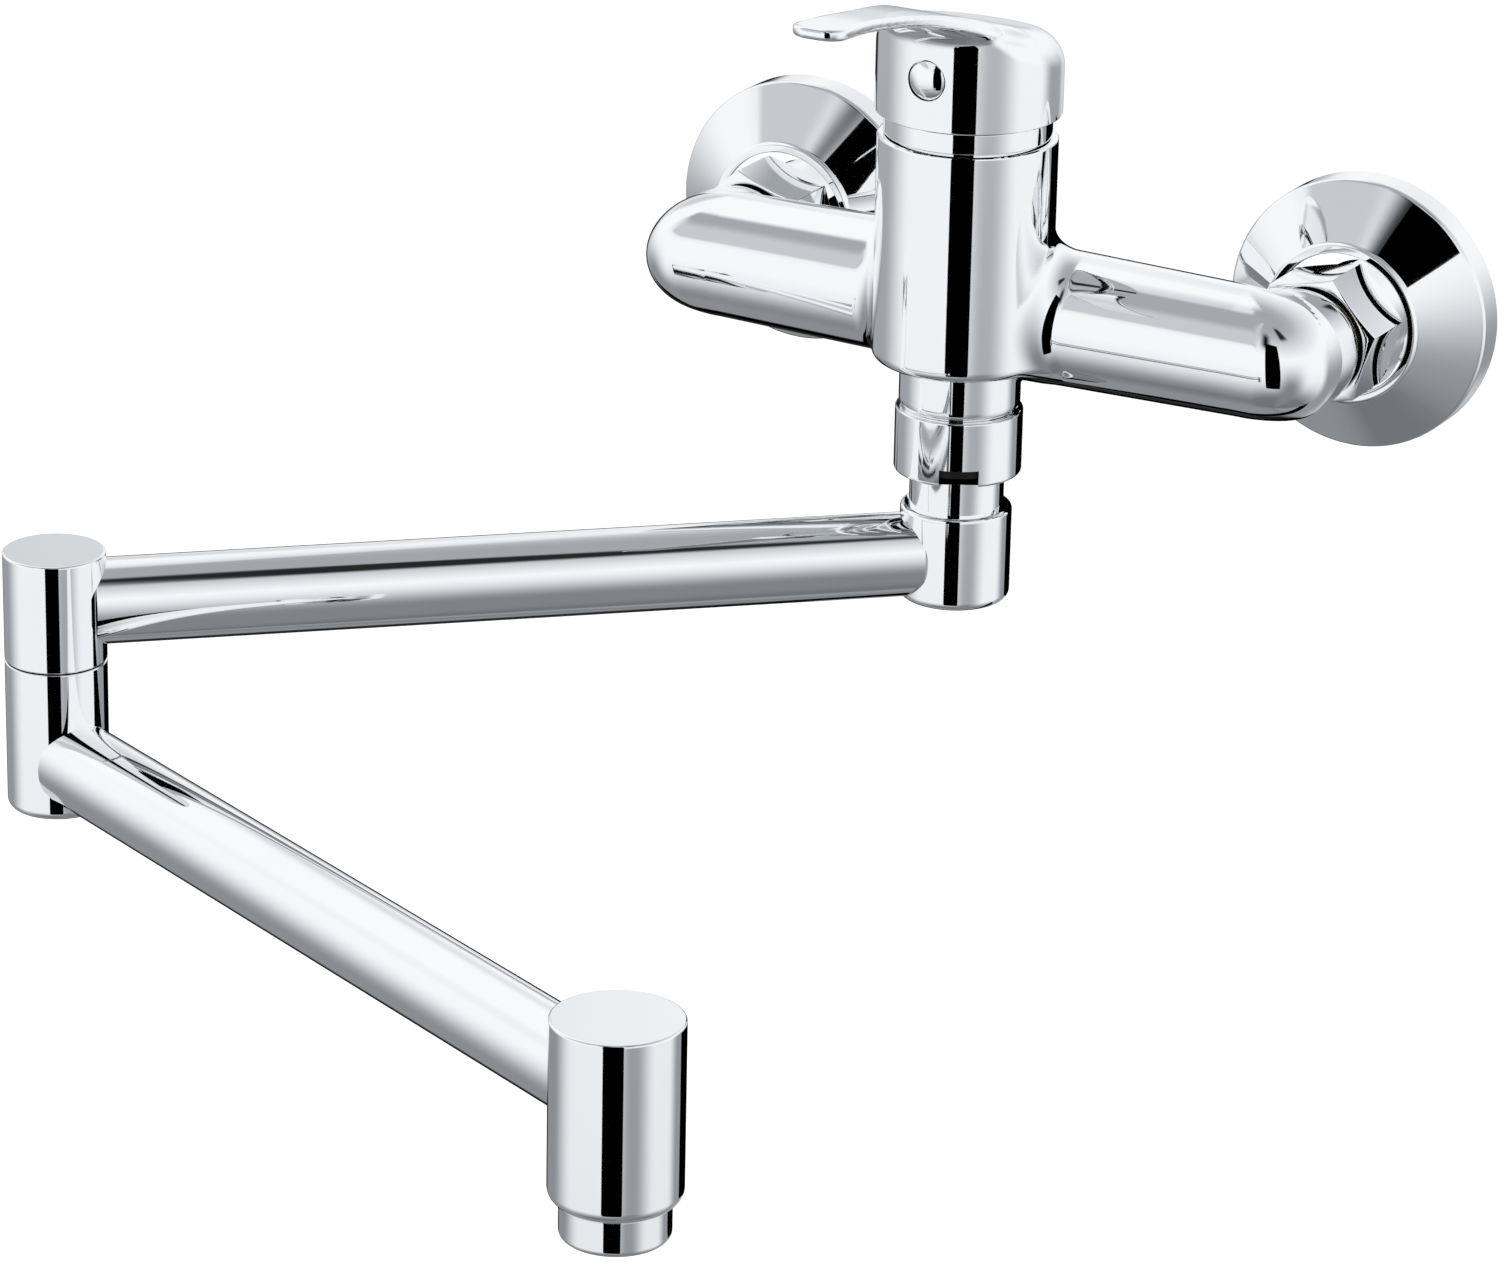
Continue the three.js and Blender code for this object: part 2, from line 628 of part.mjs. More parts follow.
function cartridgeHousing() {
  const cavity = FIXED_DISC_RADIUS + GAP;
  return turned([
    [cavity, HOUSING_BOTTOM],
    [HOUSING_RADIUS, HOUSING_BOTTOM],
    [HOUSING_RADIUS, HOUSING_SHOULDER],
    [HOUSING_NECK_RADIUS, HOUSING_SHOULDER],
    [HOUSING_NECK_RADIUS, HOUSING_TOP],
    [CARRIER_STEM_RADIUS + RUNNING_GAP, HOUSING_TOP],
    [CARRIER_STEM_RADIUS + RUNNING_GAP, CARRIER_BOTTOM + CARRIER_FLANGE_THICKNESS + RUNNING_GAP],
    [cavity, CARRIER_BOTTOM + CARRIER_FLANGE_THICKNESS + RUNNING_GAP],
  ], SMALL_ROUND);
}

function cartridgeNut() {
  const inner = HOUSING_NECK_RADIUS + GAP;
  const outer = CHAMBER_THREAD_RADIUS - THREAD_GAP;
  const low = HOUSING_SHOULDER + GAP * 2;
  const top = CARTRIDGE_NUT_TOP;
  const body = solid(
    turned([[inner, low], [outer, low], [outer, top - 0.8], [outer - 0.8, top], [inner, top]], SMALL_ROUND),
  );
  const slots = mirrorPair((side) => block(4, 8, top - 2.5, top + 1).translate(0, side * (outer + 1), 0));
  return geometryOf(cut(body, ...slots));
}

// Distance that the moving disc stands behind the axis while the lever is down.
const DISC_THROW = SPINDLE_DOWN * Math.sin(radians(SPINDLE_LEAN));

function movingDisc() {
  const pocket = block(
    SPINDLE_WIDTH + 3 * RUNNING_GAP,
    SPINDLE_TIP_RADIUS * 2 + 4 * RUNNING_GAP,
    MOVING_DISC_TOP - DISC_POCKET_DEPTH,
    MOVING_DISC_TOP + 1,
  );
  return geometryOf(cut(solid(rod(MOVING_DISC_RADIUS, MOVING_DISC_BOTTOM, MOVING_DISC_TOP)), pocket));
}

// The turning carrier: a flange under the housing's shoulder, and a stem slotted for the leaning spindle.
function cartridgeCarrier() {
  const flangeTop = CARRIER_BOTTOM + CARRIER_FLANGE_THICKNESS;
  const body = solid(
    turned([[0, CARRIER_BOTTOM], [CARRIER_RADIUS, CARRIER_BOTTOM], [CARRIER_RADIUS, flangeTop],
      [CARRIER_STEM_RADIUS, flangeTop], [CARRIER_STEM_RADIUS, CARRIER_TOP - 0.6],
      [CARRIER_STEM_RADIUS - 0.6, CARRIER_TOP], [0, CARRIER_TOP]], SMALL_ROUND),
  );
  const halfAt = (height) =>
    SPINDLE_DEPTH / 2 + 2 * RUNNING_GAP + Math.abs(height - SPINDLE_PIVOT) * Math.tan(radians(SPINDLE_LEAN));
  const slot = new THREE.Shape();
  const low = CARRIER_BOTTOM - 1;
  const high = CARRIER_TOP + 1;
  slot.moveTo(-halfAt(low), low);
  slot.lineTo(halfAt(low), low);
  slot.lineTo(halfAt(SPINDLE_PIVOT), SPINDLE_PIVOT);
  slot.lineTo(halfAt(high), high);
  slot.lineTo(-halfAt(high), high);
  slot.lineTo(-halfAt(SPINDLE_PIVOT), SPINDLE_PIVOT);
  slot.closePath();
  const pinHole = pinRod(PIVOT_PIN_RADIUS + GAP, 2 * CARRIER_RADIUS);
  return geometryOf(cut(body, slabAlongX(slot, SPINDLE_WIDTH + 2 * RUNNING_GAP), pinHole));
}

// A shape drawn in Y and Z, given a width along X about the middle plane.
function slabAlongX(shape, width) {
  return new THREE.ExtrudeGeometry(shape, { depth: width, bevelEnabled: false, curveSegments: 10 })
    .rotateY(Math.PI / 2)
    .rotateX(Math.PI / 2)
    .translate(-width / 2, 0, 0);
}

function pinRod(radius, length) {
  return rod(radius, -length / 2, length / 2, TINY_ROUND).rotateY(Math.PI / 2).translate(0, 0, SPINDLE_PIVOT);
}

function cartridgeSpindle() {
  const half = SPINDLE_DEPTH / 2;
  const tipCentre = -SPINDLE_DOWN + SPINDLE_TIP_RADIUS;
  const outline = new THREE.Shape();
  outline.moveTo(-half, SPINDLE_UP - 1);
  outline.lineTo(-half, tipCentre + 2);
  outline.lineTo(-SPINDLE_TIP_RADIUS, tipCentre);
  outline.absarc(0, tipCentre, SPINDLE_TIP_RADIUS, Math.PI, Math.PI * 2, false);
  outline.lineTo(half, tipCentre + 2);
  outline.lineTo(half, SPINDLE_UP - 1);
  outline.lineTo(half - 1, SPINDLE_UP);
  outline.lineTo(-half + 1, SPINDLE_UP);
  outline.closePath();
  const hole = new THREE.Path();
  hole.absarc(0, 0, PIVOT_PIN_RADIUS + RUNNING_GAP, 0, Math.PI * 2, true);
  outline.holes.push(hole);
  return slabAlongX(outline, SPINDLE_WIDTH);
}

// ---------------------------------------------------------------- lever handle

// Height of the handle's upper face at a distance in front of the axis, on the middle plane.
const leverCurve = new THREE.CatmullRomCurve3(
  [
    [-HANDLE_RADIUS, HANDLE_CROWN - 2],
    [-HANDLE_RADIUS / 2, HANDLE_CROWN - 1.6],
    [0, HANDLE_CROWN],
    [HANDLE_RADIUS * 0.78, HANDLE_CROWN + (LEVER_TIP_HEIGHT - HANDLE_CROWN) * 0.342],
    [LEVER_REACH * 0.5, HANDLE_CROWN + (LEVER_TIP_HEIGHT - HANDLE_CROWN) * 0.68],
    [LEVER_REACH * 0.8, HANDLE_CROWN + (LEVER_TIP_HEIGHT - HANDLE_CROWN) * 0.93],
    [LEVER_REACH, LEVER_TIP_HEIGHT],
  ].map(([forward, height]) => new THREE.Vector3(forward, height, 0)),
  false,
  'centripetal',
);
const leverSamples = leverCurve.getPoints(120);

function topAt(forward) {
  const after = leverSamples.findIndex((point) => point.x >= forward);
  if (after <= 0) {
    return leverSamples[after === 0 ? 0 : leverSamples.length - 1].y;
  }
  const [a, b] = [leverSamples[after - 1], leverSamples[after]];
  return a.y + ((b.y - a.y) * (forward - a.x)) / (b.x - a.x);
}

// A turned cap whose top is lifted to follow the lever's curve.
function capForm(radius, bottom, drop, edgeRound, sides, steps = 5) {
  const shoulder = HANDLE_SHOULDER - drop;
  const crown = HANDLE_CROWN - drop;
  const profile = [[0, bottom], [radius, bottom], [radius, shoulder - 6]];
  const edge = quarter(radius, shoulder, radius - edgeRound, crown, steps);
  profile.push(...edge, [radius / 3, crown], [0, crown]);
  const form = turned(profile, sides);
  const place = form.getAttribute('position');
  for (let i = 0; i < place.count; i += 1) {
    const share = THREE.MathUtils.smoothstep(place.getZ(i), shoulder - 6.1, shoulder + 1);
    const lift = (topAt(-place.getY(i)) - HANDLE_CROWN) * share;
    place.setZ(i, place.getZ(i) + lift);
  }
  return form;
}

const ROOT_START = HANDLE_RADIUS * 0.78; // where the blade's edges leave the round of the cap
const ROOT_END = HANDLE_RADIUS * 1.24; // where the blade takes on its own thickness and crisp edges
const FLARE_END = HANDLE_RADIUS * 2.2; // where the flare of the blade's root ends
const capHalfWidth = (forward) => Math.sqrt(Math.max(HANDLE_RADIUS ** 2 - forward ** 2, 0));
const bladeTaper = (forward) =>
  LEVER_TIP_HALF_WIDTH - (LEVER_TAPER * (LEVER_REACH - forward)) / (LEVER_REACH - HANDLE_RADIUS);

// Half width of the blade at a distance in front of the axis: it flares into the cap at its root.
function bladeHalfWidth(forward) {
  const tipStart = LEVER_REACH - LEVER_TIP_ROUND;
  if (forward > tipStart) {
    const past = Math.min(forward - tipStart, LEVER_TIP_ROUND);
    return LEVER_TIP_HALF_WIDTH - LEVER_TIP_ROUND + Math.sqrt(LEVER_TIP_ROUND ** 2 - past ** 2);
  }
  if (forward < ROOT_START) {
    return capHalfWidth(forward) - BLADE_SINK;
  }
  const flare = Math.max(0, (FLARE_END - forward) / (FLARE_END - ROOT_START)) ** 1.4;
  return bladeTaper(forward) + (capHalfWidth(ROOT_START) - bladeTaper(ROOT_START)) * flare;
}

function bladeThickness(forward) {
  const rise = Math.max(0, 1 - (forward - HANDLE_RADIUS) / 12);
  return LEVER_THICKNESS + (LEVER_ROOT_THICKNESS - LEVER_THICKNESS) * Math.min(rise, 1.2) ** 2;
}

// The blade's upper edges are crisp along its length and take over the large round of the cap at its root.
function bladeEdge(forward) {
  const share = 1 - THREE.MathUtils.smoothstep(forward, HANDLE_RADIUS * 0.45, ROOT_END);
  return LEVER_EDGE + (HANDLE_EDGE_ROUND - 1 - LEVER_EDGE) * share;
}

function bladeForm() {
  const root = [0.28, 0.46, 0.64, 0.78, 0.92, 1.06, 1.22].map((share) => share * HANDLE_RADIUS);
  const length = LEVER_REACH - LEVER_TIP_ROUND - ROOT_END;
  const middle = [0.1, 0.28, 0.55, 0.96].map((share) => ROOT_END + share * length);
  const tipTurns = [0.4, 0.75, 1].map((share) => (share * Math.PI) / 2);
  const tip = tipTurns.map((turn) => LEVER_REACH - LEVER_TIP_ROUND * (1 - Math.sin(turn)));
  const rings = [...root, ...middle, ...tip].map((forward) => {
    const half = bladeHalfWidth(forward);
    const top = topAt(forward) - BLADE_SINK * Math.max(0, 1 - forward / ROOT_START);
    const bottom = top - bladeThickness(forward);
    const edge = bladeEdge(forward);
    const side = quarter(half, top - edge, half - edge, top, 3).reverse();
    const right = [...side, [half, bottom + LEVER_EDGE], [half - LEVER_EDGE, bottom]];
    const left = right.map(([x, z]) => [-x, z]).reverse();
    return [...right, ...left].map(([x, z]) => [x, -forward, z]);
  });
  return skin(rings);
}

// The handle's own place is the barrel axis; the spindle's socket leans with the spindle.
function leverHandle() {
  const skirt = TRIM_TOP + RUNNING_GAP;
  const inner = HANDLE_RADIUS - HANDLE_WALL;
  const shell = solid(capForm(HANDLE_RADIUS, skirt, 0, HANDLE_EDGE_ROUND, ROUND)).add(solid(bladeForm()));
  const hollow = capForm(inner, skirt - CUT_PAST, HANDLE_WALL + 1.2, HANDLE_EDGE_ROUND, ROUND, 3);
  const lean = (geometry) => geometry.rotateX(radians(SPINDLE_LEAN)).translate(0, 0, SPINDLE_PIVOT);
  const blockTop = HANDLE_CROWN + 2 - SPINDLE_PIVOT;
  const socketBlock = lean(block(SOCKET_BLOCK, SOCKET_BLOCK, SOCKET_BOTTOM - SPINDLE_PIVOT, blockTop));
  const core = capForm(HANDLE_RADIUS - 0.5, skirt, 0.5, HANDLE_EDGE_ROUND, SMALL_ROUND);
  const inCap = solid(socketBlock).intersect(solid(core));
  const socket = lean(block(SPINDLE_WIDTH + 2 * GAP, SPINDLE_DEPTH + 2 * GAP, 0, SPINDLE_UP + GAP));
  const button = alongFront(rod(BUTTON_RADIUS + GAP, inner - 1.5, HANDLE_RADIUS + CUT_PAST), BUTTON_HEIGHT);
  const screw = alongFront(rod(SET_SCREW_RADIUS + THREAD_GAP, 5, HANDLE_RADIUS, TINY_ROUND), BUTTON_HEIGHT);
  return geometryOf(cut(cut(shell, hollow).add(inCap), socket, button, screw));
}

// Turns a piece made along +Z to point straight forward at a height.
const alongFront = (geometry, height) => geometry.rotateX(Math.PI / 2).translate(0, 0, height);

function indexButton() {
  const face = HANDLE_RADIUS;
  return alongFront(
    turned(
      [
        [0, face - BUTTON_DEPTH],
        [BUTTON_RADIUS, face - BUTTON_DEPTH],
        [BUTTON_RADIUS, face - 0.2],
        [BUTTON_RADIUS * 0.82, face + BUTTON_DOME * 0.5],
        [BUTTON_RADIUS * 0.45, face + BUTTON_DOME * 0.88],
        [0, face + BUTTON_DOME],
      ],
      SMALL_ROUND,
    ),
    BUTTON_HEIGHT,
  );
}

function setScrew() {
  const nose = SPINDLE_FRONT_AT_SCREW + GAP;
  const screw = solid(rod(SET_SCREW_RADIUS, nose, nose + SET_SCREW_LENGTH, TINY_ROUND));
  const key = new THREE.CylinderGeometry(1.4, 1.4, 3, 6)
    .rotateX(Math.PI / 2)
    .translate(0, 0, nose + SET_SCREW_LENGTH);
  return geometryOf(cut(screw, key)).rotateX(Math.PI / 2).translate(0, 0, BUTTON_HEIGHT);
}

// How far in front of the axis the leaning spindle's front face is at the set screw, on its lower edge.
const SPINDLE_FRONT_AT_SCREW =
  (BUTTON_HEIGHT + SET_SCREW_RADIUS - SPINDLE_PIVOT) * Math.tan(radians(SPINDLE_LEAN)) +
  SPINDLE_DEPTH / 2 / Math.cos(radians(SPINDLE_LEAN));

const TRIM_BOTTOM = BARREL_TOP + GAP;
const TRIM_TOP = TRIM_BOTTOM + TRIM_RING_HEIGHT;

function trimRing() {
  const skirt = CHAMBER_THREAD_RADIUS - THREAD_GAP;
  return turned([
    [skirt - TRIM_SKIRT_WALL, BARREL_TOP - TRIM_SKIRT_DEPTH],
    [skirt, BARREL_TOP - TRIM_SKIRT_DEPTH],
    [skirt, TRIM_BOTTOM],
    [TRIM_RING_RADIUS, TRIM_BOTTOM],
    [TRIM_RING_RADIUS, TRIM_TOP - TOP_EDGE],
    [TRIM_RING_RADIUS - TOP_EDGE, TRIM_TOP],
    [TRIM_RING_BORE, TRIM_TOP],
    [TRIM_RING_BORE, TRIM_TOP - 1.5],
    [skirt - TRIM_SKIRT_WALL, TRIM_TOP - 3],
  ]);
}

// ---------------------------------------------------------------- spout, each arm along its own +X

const STEM_GROOVE_RADIUS = 9.3;
const groove = (centre, radius) => [
  [radius, centre + O_RING_SECTION + 0.35],
  [radius - O_RING_GROOVE, centre + O_RING_SECTION + 0.35],
  [radius - O_RING_GROOVE, centre - O_RING_SECTION - 0.35],
  [radius, centre - O_RING_SECTION - 0.35],
];
const STEM_RINGS = [STEM_TOP - 4, STEM_TOP - 10];

function spoutStem() {
  const plug = PIVOT_RADIUS - PIVOT_WALL - 1.4;
  return turned(
    [
      [STEM_BORE, STEM_TOP],
      [STEM_RADIUS - 0.6, STEM_TOP],
      [STEM_RADIUS, STEM_TOP - 0.6],
      ...STEM_RINGS.flatMap((height) => groove(height, STEM_RADIUS)),
      [STEM_RADIUS, SPIGOT_BOTTOM - GAP],
      [NECK_RADIUS, SPIGOT_BOTTOM - GAP * 2],
      [NECK_RADIUS, SLIDE_RING_TOP + RUNNING_GAP],
      [STEM_GROOVE_RADIUS, SLIDE_RING_TOP + RUNNING_GAP],
      [STEM_GROOVE_RADIUS, SLIDE_RING_BOTTOM - RUNNING_GAP],
      [NECK_RADIUS, SLIDE_RING_BOTTOM - RUNNING_GAP],
      [NECK_RADIUS, PIVOT_TOP + GAP],
      [plug, PIVOT_TOP + GAP],
      [plug, PIVOT_TOP - 4],
      [STEM_BORE, PIVOT_TOP - 4],
    ],
    SMALL_ROUND,
  );
}

function stemRing(height) {
  return ring(STEM_RADIUS - O_RING_GROOVE + O_RING_SECTION + GAP, O_RING_SECTION, height);
}

// Opening from an upright socket into a tube that leaves it along +X.
const portTool = (radius, height, reach) =>
  passage(new THREE.Vector3(0, 0, height), new THREE.Vector3(reach, 0, height), radius);

function pivotBody() {
  const cavity = PIVOT_RADIUS - PIVOT_WALL;
  const plug = cavity - 1.4 + GAP;
  const body = turned([
    [0, PIVOT_BOTTOM],
    ...quarter(PIVOT_RADIUS - EDGE_ROUND, PIVOT_BOTTOM, PIVOT_RADIUS, PIVOT_BOTTOM + EDGE_ROUND, 3),
    [PIVOT_RADIUS, PIVOT_TOP - TOP_EDGE],
    [PIVOT_RADIUS - TOP_EDGE, PIVOT_TOP],
    [plug, PIVOT_TOP],
    [plug, PIVOT_TOP - 5],
    [cavity, PIVOT_TOP - 6],
    [cavity, PIVOT_BOTTOM + PIVOT_WALL],
    [0, PIVOT_BOTTOM + PIVOT_WALL],
  ]);
  const port = portTool(TUBE_RADIUS - TUBE_WALL, INNER_TUBE_HEIGHT, PIVOT_RADIUS + CUT_PAST);
  return geometryOf(cut(solid(body), port));
}

// A straight tube between two upright sockets, its ends cut to their round.
function armTube(height, length, startRadius, endRadius) {
  const lying = (radius, from, to) =>
    rod(radius, from, to, ROUND).rotateY(Math.PI / 2).translate(0, 0, height);
  const pipe = lying(TUBE_RADIUS, 0, length);
  const bore = lying(TUBE_RADIUS - TUBE_WALL, -CUT_PAST, length + CUT_PAST);
  const saddle = (radius, at) =>
    rod(radius + GAP, height - 2 * TUBE_RADIUS, height + 2 * TUBE_RADIUS, ROUND).translate(at, 0, 0);
  return geometryOf(cut(solid(pipe), saddle(startRadius, 0), saddle(endRadius, length), bore));
}

function elbowUpper() {
  const body = turned([
    [0, ELBOW_TOP],
    [ELBOW_RADIUS - TOP_EDGE, ELBOW_TOP],
    [ELBOW_RADIUS, ELBOW_TOP - TOP_EDGE],
    [ELBOW_RADIUS, ELBOW_SEAM + TOP_EDGE],
    [ELBOW_RADIUS - TOP_EDGE, ELBOW_SEAM],
    [ELBOW_BORE, ELBOW_SEAM],
    [ELBOW_BORE, SNAP_HEIGHT - SNAP_RING_SECTION - 0.2],
    [ELBOW_BORE + SNAP_RING_SECTION, SNAP_HEIGHT - SNAP_RING_SECTION - 0.2],
    [ELBOW_BORE + SNAP_RING_SECTION, SNAP_HEIGHT + SNAP_RING_SECTION + 0.2],
    [ELBOW_BORE, SNAP_HEIGHT + SNAP_RING_SECTION + 0.2],
    [ELBOW_BORE, ELBOW_STEM_TOP + 1.5],
    [0, ELBOW_STEM_TOP + 1.5],
  ]);
  return geometryOf(cut(solid(body), portTool(TUBE_PORT, INNER_TUBE_HEIGHT, -ELBOW_RADIUS - CUT_PAST)));
}

const SNAP_HEIGHT = ELBOW_STEM_TOP - 1.6;
const ELBOW_LOWER_TOP = ELBOW_SEAM - RUNNING_GAP;
const ELBOW_RINGS = [INNER_TUBE_HEIGHT - TUBE_PORT - 2.1, INNER_TUBE_HEIGHT - TUBE_PORT - 5];

// The lower half of the elbow with its hollow stem, which turns in the upper half.
function elbowLower() {
  const stem = ELBOW_BORE - RUNNING_GAP;
  const grooveFloor = stem - SNAP_RING_SECTION - 0.4;
  const hollowStem = turned(
    [
      [0, ELBOW_STEM_TOP],
      [stem - 0.5, ELBOW_STEM_TOP],
      [stem, ELBOW_STEM_TOP - 0.5],
      [stem, SNAP_HEIGHT + SNAP_RING_SECTION + 0.2],
      [grooveFloor, SNAP_HEIGHT + SNAP_RING_SECTION + 0.2],
      [grooveFloor, SNAP_HEIGHT - SNAP_RING_SECTION - 0.2],
      [stem, SNAP_HEIGHT - SNAP_RING_SECTION - 0.2],
      ...ELBOW_RINGS.flatMap((height) => groove(height, stem)),
      [stem, ELBOW_LOWER_TOP - 1],
      [0, ELBOW_LOWER_TOP - 1],
    ],
    SMALL_ROUND,
  );
  const body = turned([
    [0, ELBOW_LOWER_TOP],
    [ELBOW_RADIUS - TOP_EDGE, ELBOW_LOWER_TOP],
    [ELBOW_RADIUS, ELBOW_LOWER_TOP - TOP_EDGE],
    ...quarter(ELBOW_RADIUS, ELBOW_BOTTOM + EDGE_ROUND, ELBOW_RADIUS - EDGE_ROUND, ELBOW_BOTTOM, 3),
    [0, ELBOW_BOTTOM],
  ]);
  const windows = passage(
    new THREE.Vector3(0, -ELBOW_RADIUS, INNER_TUBE_HEIGHT),
    new THREE.Vector3(0, ELBOW_RADIUS, INNER_TUBE_HEIGHT),
    TUBE_PORT - 2,
  );
  return geometryOf(
    cut(
      solid(hollowStem).add(solid(body)),
      rod(ELBOW_STEM_BORE, ELBOW_BOTTOM + PIVOT_WALL, ELBOW_STEM_TOP + CUT_PAST),
      portTool(TUBE_PORT, OUTER_TUBE_HEIGHT, ELBOW_RADIUS + CUT_PAST),
      windows,
    ),
  );
}

function elbowRing(height) {
  return ring(ELBOW_BORE - RUNNING_GAP - O_RING_GROOVE + O_RING_SECTION + GAP, O_RING_SECTION, height);
}

// An open wire ring that keeps the stem in the upper half of the elbow.
function snapRing() {
  const radius = ELBOW_BORE - RUNNING_GAP / 2;
  const wire = SNAP_RING_SECTION - GAP;
  const steps = 14;
  const rings = [];
  for (let i = 0; i <= steps; i += 1) {
    const angle = SNAP_RING_OPENING / 2 + (i / steps) * (Math.PI * 2 - SNAP_RING_OPENING);
    rings.push(
      sectionRing(wire, 5, (out, up) => {
        const reach = radius + out;
        return [reach * Math.cos(angle), reach * Math.sin(angle), SNAP_HEIGHT + up];
      }),
    );
  }
  return skin(rings);
}

// ---------------------------------------------------------------- head and aerator

function headBody() {
  const body = turned([
    [0, HEAD_TOP],
    [HEAD_RADIUS - TOP_EDGE, HEAD_TOP],
    [HEAD_RADIUS, HEAD_TOP - TOP_EDGE],
    ...quarter(HEAD_RADIUS, HEAD_BOTTOM + HEAD_ROUND, HEAD_RADIUS - HEAD_ROUND + 0.9, HEAD_BOTTOM, 3),
    [AERATOR_RADIUS + GAP, HEAD_BOTTOM],
    [AERATOR_RADIUS + GAP, AERATOR_SHOULDER + GAP],
    [AERATOR_THREAD_RADIUS + THREAD_GAP, AERATOR_SHOULDER + GAP],
    [AERATOR_THREAD_RADIUS + THREAD_GAP, WASHER_TOP + GAP],
    [HEAD_CHAMBER_RADIUS, WASHER_TOP + GAP],
    [HEAD_CHAMBER_RADIUS, HEAD_CHAMBER_TOP],
    [0, HEAD_CHAMBER_TOP],
  ]);
  return geometryOf(cut(solid(body), portTool(TUBE_PORT + 1, OUTER_TUBE_HEIGHT, -HEAD_RADIUS - CUT_PAST)));
}

const WASHER_BOTTOM = AERATOR_THREAD_TOP + GAP;
const WASHER_TOP = WASHER_BOTTOM + AERATOR_WASHER_THICKNESS;
const CORE_BOTTOM = AERATOR_BOTTOM + AERATOR_LIP + GAP;

function aeratorHousing() {
  const inside = AERATOR_CORE_RADIUS + GAP;
  return turned([
    [AERATOR_LIP_RADIUS, AERATOR_BOTTOM],
    ...quarter(AERATOR_RADIUS - 1.5, AERATOR_BOTTOM, AERATOR_RADIUS, AERATOR_BOTTOM + 1.5, 2),
    [AERATOR_RADIUS, AERATOR_SHOULDER],
    [AERATOR_THREAD_RADIUS, AERATOR_SHOULDER],
    [AERATOR_THREAD_RADIUS, AERATOR_THREAD_TOP],
    [inside, AERATOR_THREAD_TOP],
    [inside, AERATOR_BOTTOM + AERATOR_LIP],
    [AERATOR_LIP_RADIUS, AERATOR_BOTTOM + AERATOR_LIP],
  ]);
}

// The plastic core, drilled with rings of cells that straighten the stream.
function aeratorCore() {
  const top = CORE_BOTTOM + AERATOR_CORE_HEIGHT;
  const cells = [];
  for (let r = 0; r <= AERATOR_CELL_RINGS; r += 1) {
    const count = Math.max(1, r * 6);
    for (let i = 0; i < count; i += 1) {
      const angle = (i / count) * Math.PI * 2;
      const at = r * AERATOR_CELL_PITCH;
      const cell = rod(AERATOR_CELL, CORE_BOTTOM - 1, top + 1, 6);
      cells.push(cell.translate(at * Math.cos(angle), at * Math.sin(angle), 0));
    }
  }
  return geometryOf(cut(solid(rod(AERATOR_CORE_RADIUS, CORE_BOTTOM, top)), ...cells));
}

function aeratorWasher() {
  return tube(AERATOR_THREAD_RADIUS, AERATOR_LIP_RADIUS - 1.5, WASHER_BOTTOM, WASHER_TOP, TINY_ROUND);
}

// ---------------------------------------------------------------- assembly

const potFiller = new THREE.Group();
potFiller.name = 'pot_filler';

potFiller.add(named('valve_body', geometryOf(valveBody()), chrome()));
potFiller.add(inlet(-1, 'left'), inlet(1, 'right'));

const onValveAxis = new THREE.Group();
onValveAxis.position.y = -VALVE_REACH;
onValveAxis.add(
  named('cartridge_seal', ported(HOUSING_RADIUS - GAP, SEAL_BOTTOM, SEAL_BOTTOM + SEAL_THICKNESS), rubber()),
  named('cartridge_base', ported(HOUSING_RADIUS, BASE_BOTTOM, BASE_BOTTOM + BASE_THICKNESS), whitePlastic()),
  named('fixed_ceramic_disc', ported(FIXED_DISC_RADIUS, HOUSING_BOTTOM, FIXED_DISC_TOP), ceramic()),
  named('cartridge_housing', cartridgeHousing(), whitePlastic()),
  named('cartridge_nut', cartridgeNut(), brass()),
  named('trim_ring', trimRing(), chrome()),
  named('swivel_nut', swivelNut(), chrome()),
  named('slide_ring', slideRing(), blackPlastic()),
  named('cartridge_carrier', cartridgeCarrier(), whitePlastic()),
  named('pivot_pin', pinRod(PIVOT_PIN_RADIUS, 2 * CARRIER_STEM_RADIUS - 1.6), steel()),
  named('lever_handle', leverHandle(), chrome()),
  named('index_button', indexButton(), chrome()),
  named('set_screw', setScrew(), steel()),
);

const movingDiscMesh = named('moving_ceramic_disc', movingDisc(), ceramic());
movingDiscMesh.position.y = DISC_THROW;
onValveAxis.add(movingDiscMesh);

const spindleMesh = named('cartridge_spindle', cartridgeSpindle(), brass());
spindleMesh.position.z = SPINDLE_PIVOT;
spindleMesh.rotation.x = radians(SPINDLE_LEAN);
onValveAxis.add(spindleMesh);
potFiller.add(onValveAxis);

const innerArm = new THREE.Group();
innerArm.position.y = -VALVE_REACH;
innerArm.rotation.z = radians(INNER_ARM_REST);
innerArm.add(
  named('spout_stem', spoutStem(), chrome()),
  named('stem_o_ring_upper', stemRing(STEM_RINGS[0]), rubber()),
  named('stem_o_ring_lower', stemRing(STEM_RINGS[1]), rubber()),
  named('pivot_body', pivotBody(), chrome()),
  named('inner_tube', armTube(INNER_TUBE_HEIGHT, INNER_ARM_LENGTH, PIVOT_RADIUS, ELBOW_RADIUS), chrome()),
);
const elbowUpperMesh = named('elbow_upper', elbowUpper(), chrome());
elbowUpperMesh.position.x = INNER_ARM_LENGTH;
innerArm.add(elbowUpperMesh);
potFiller.add(innerArm);

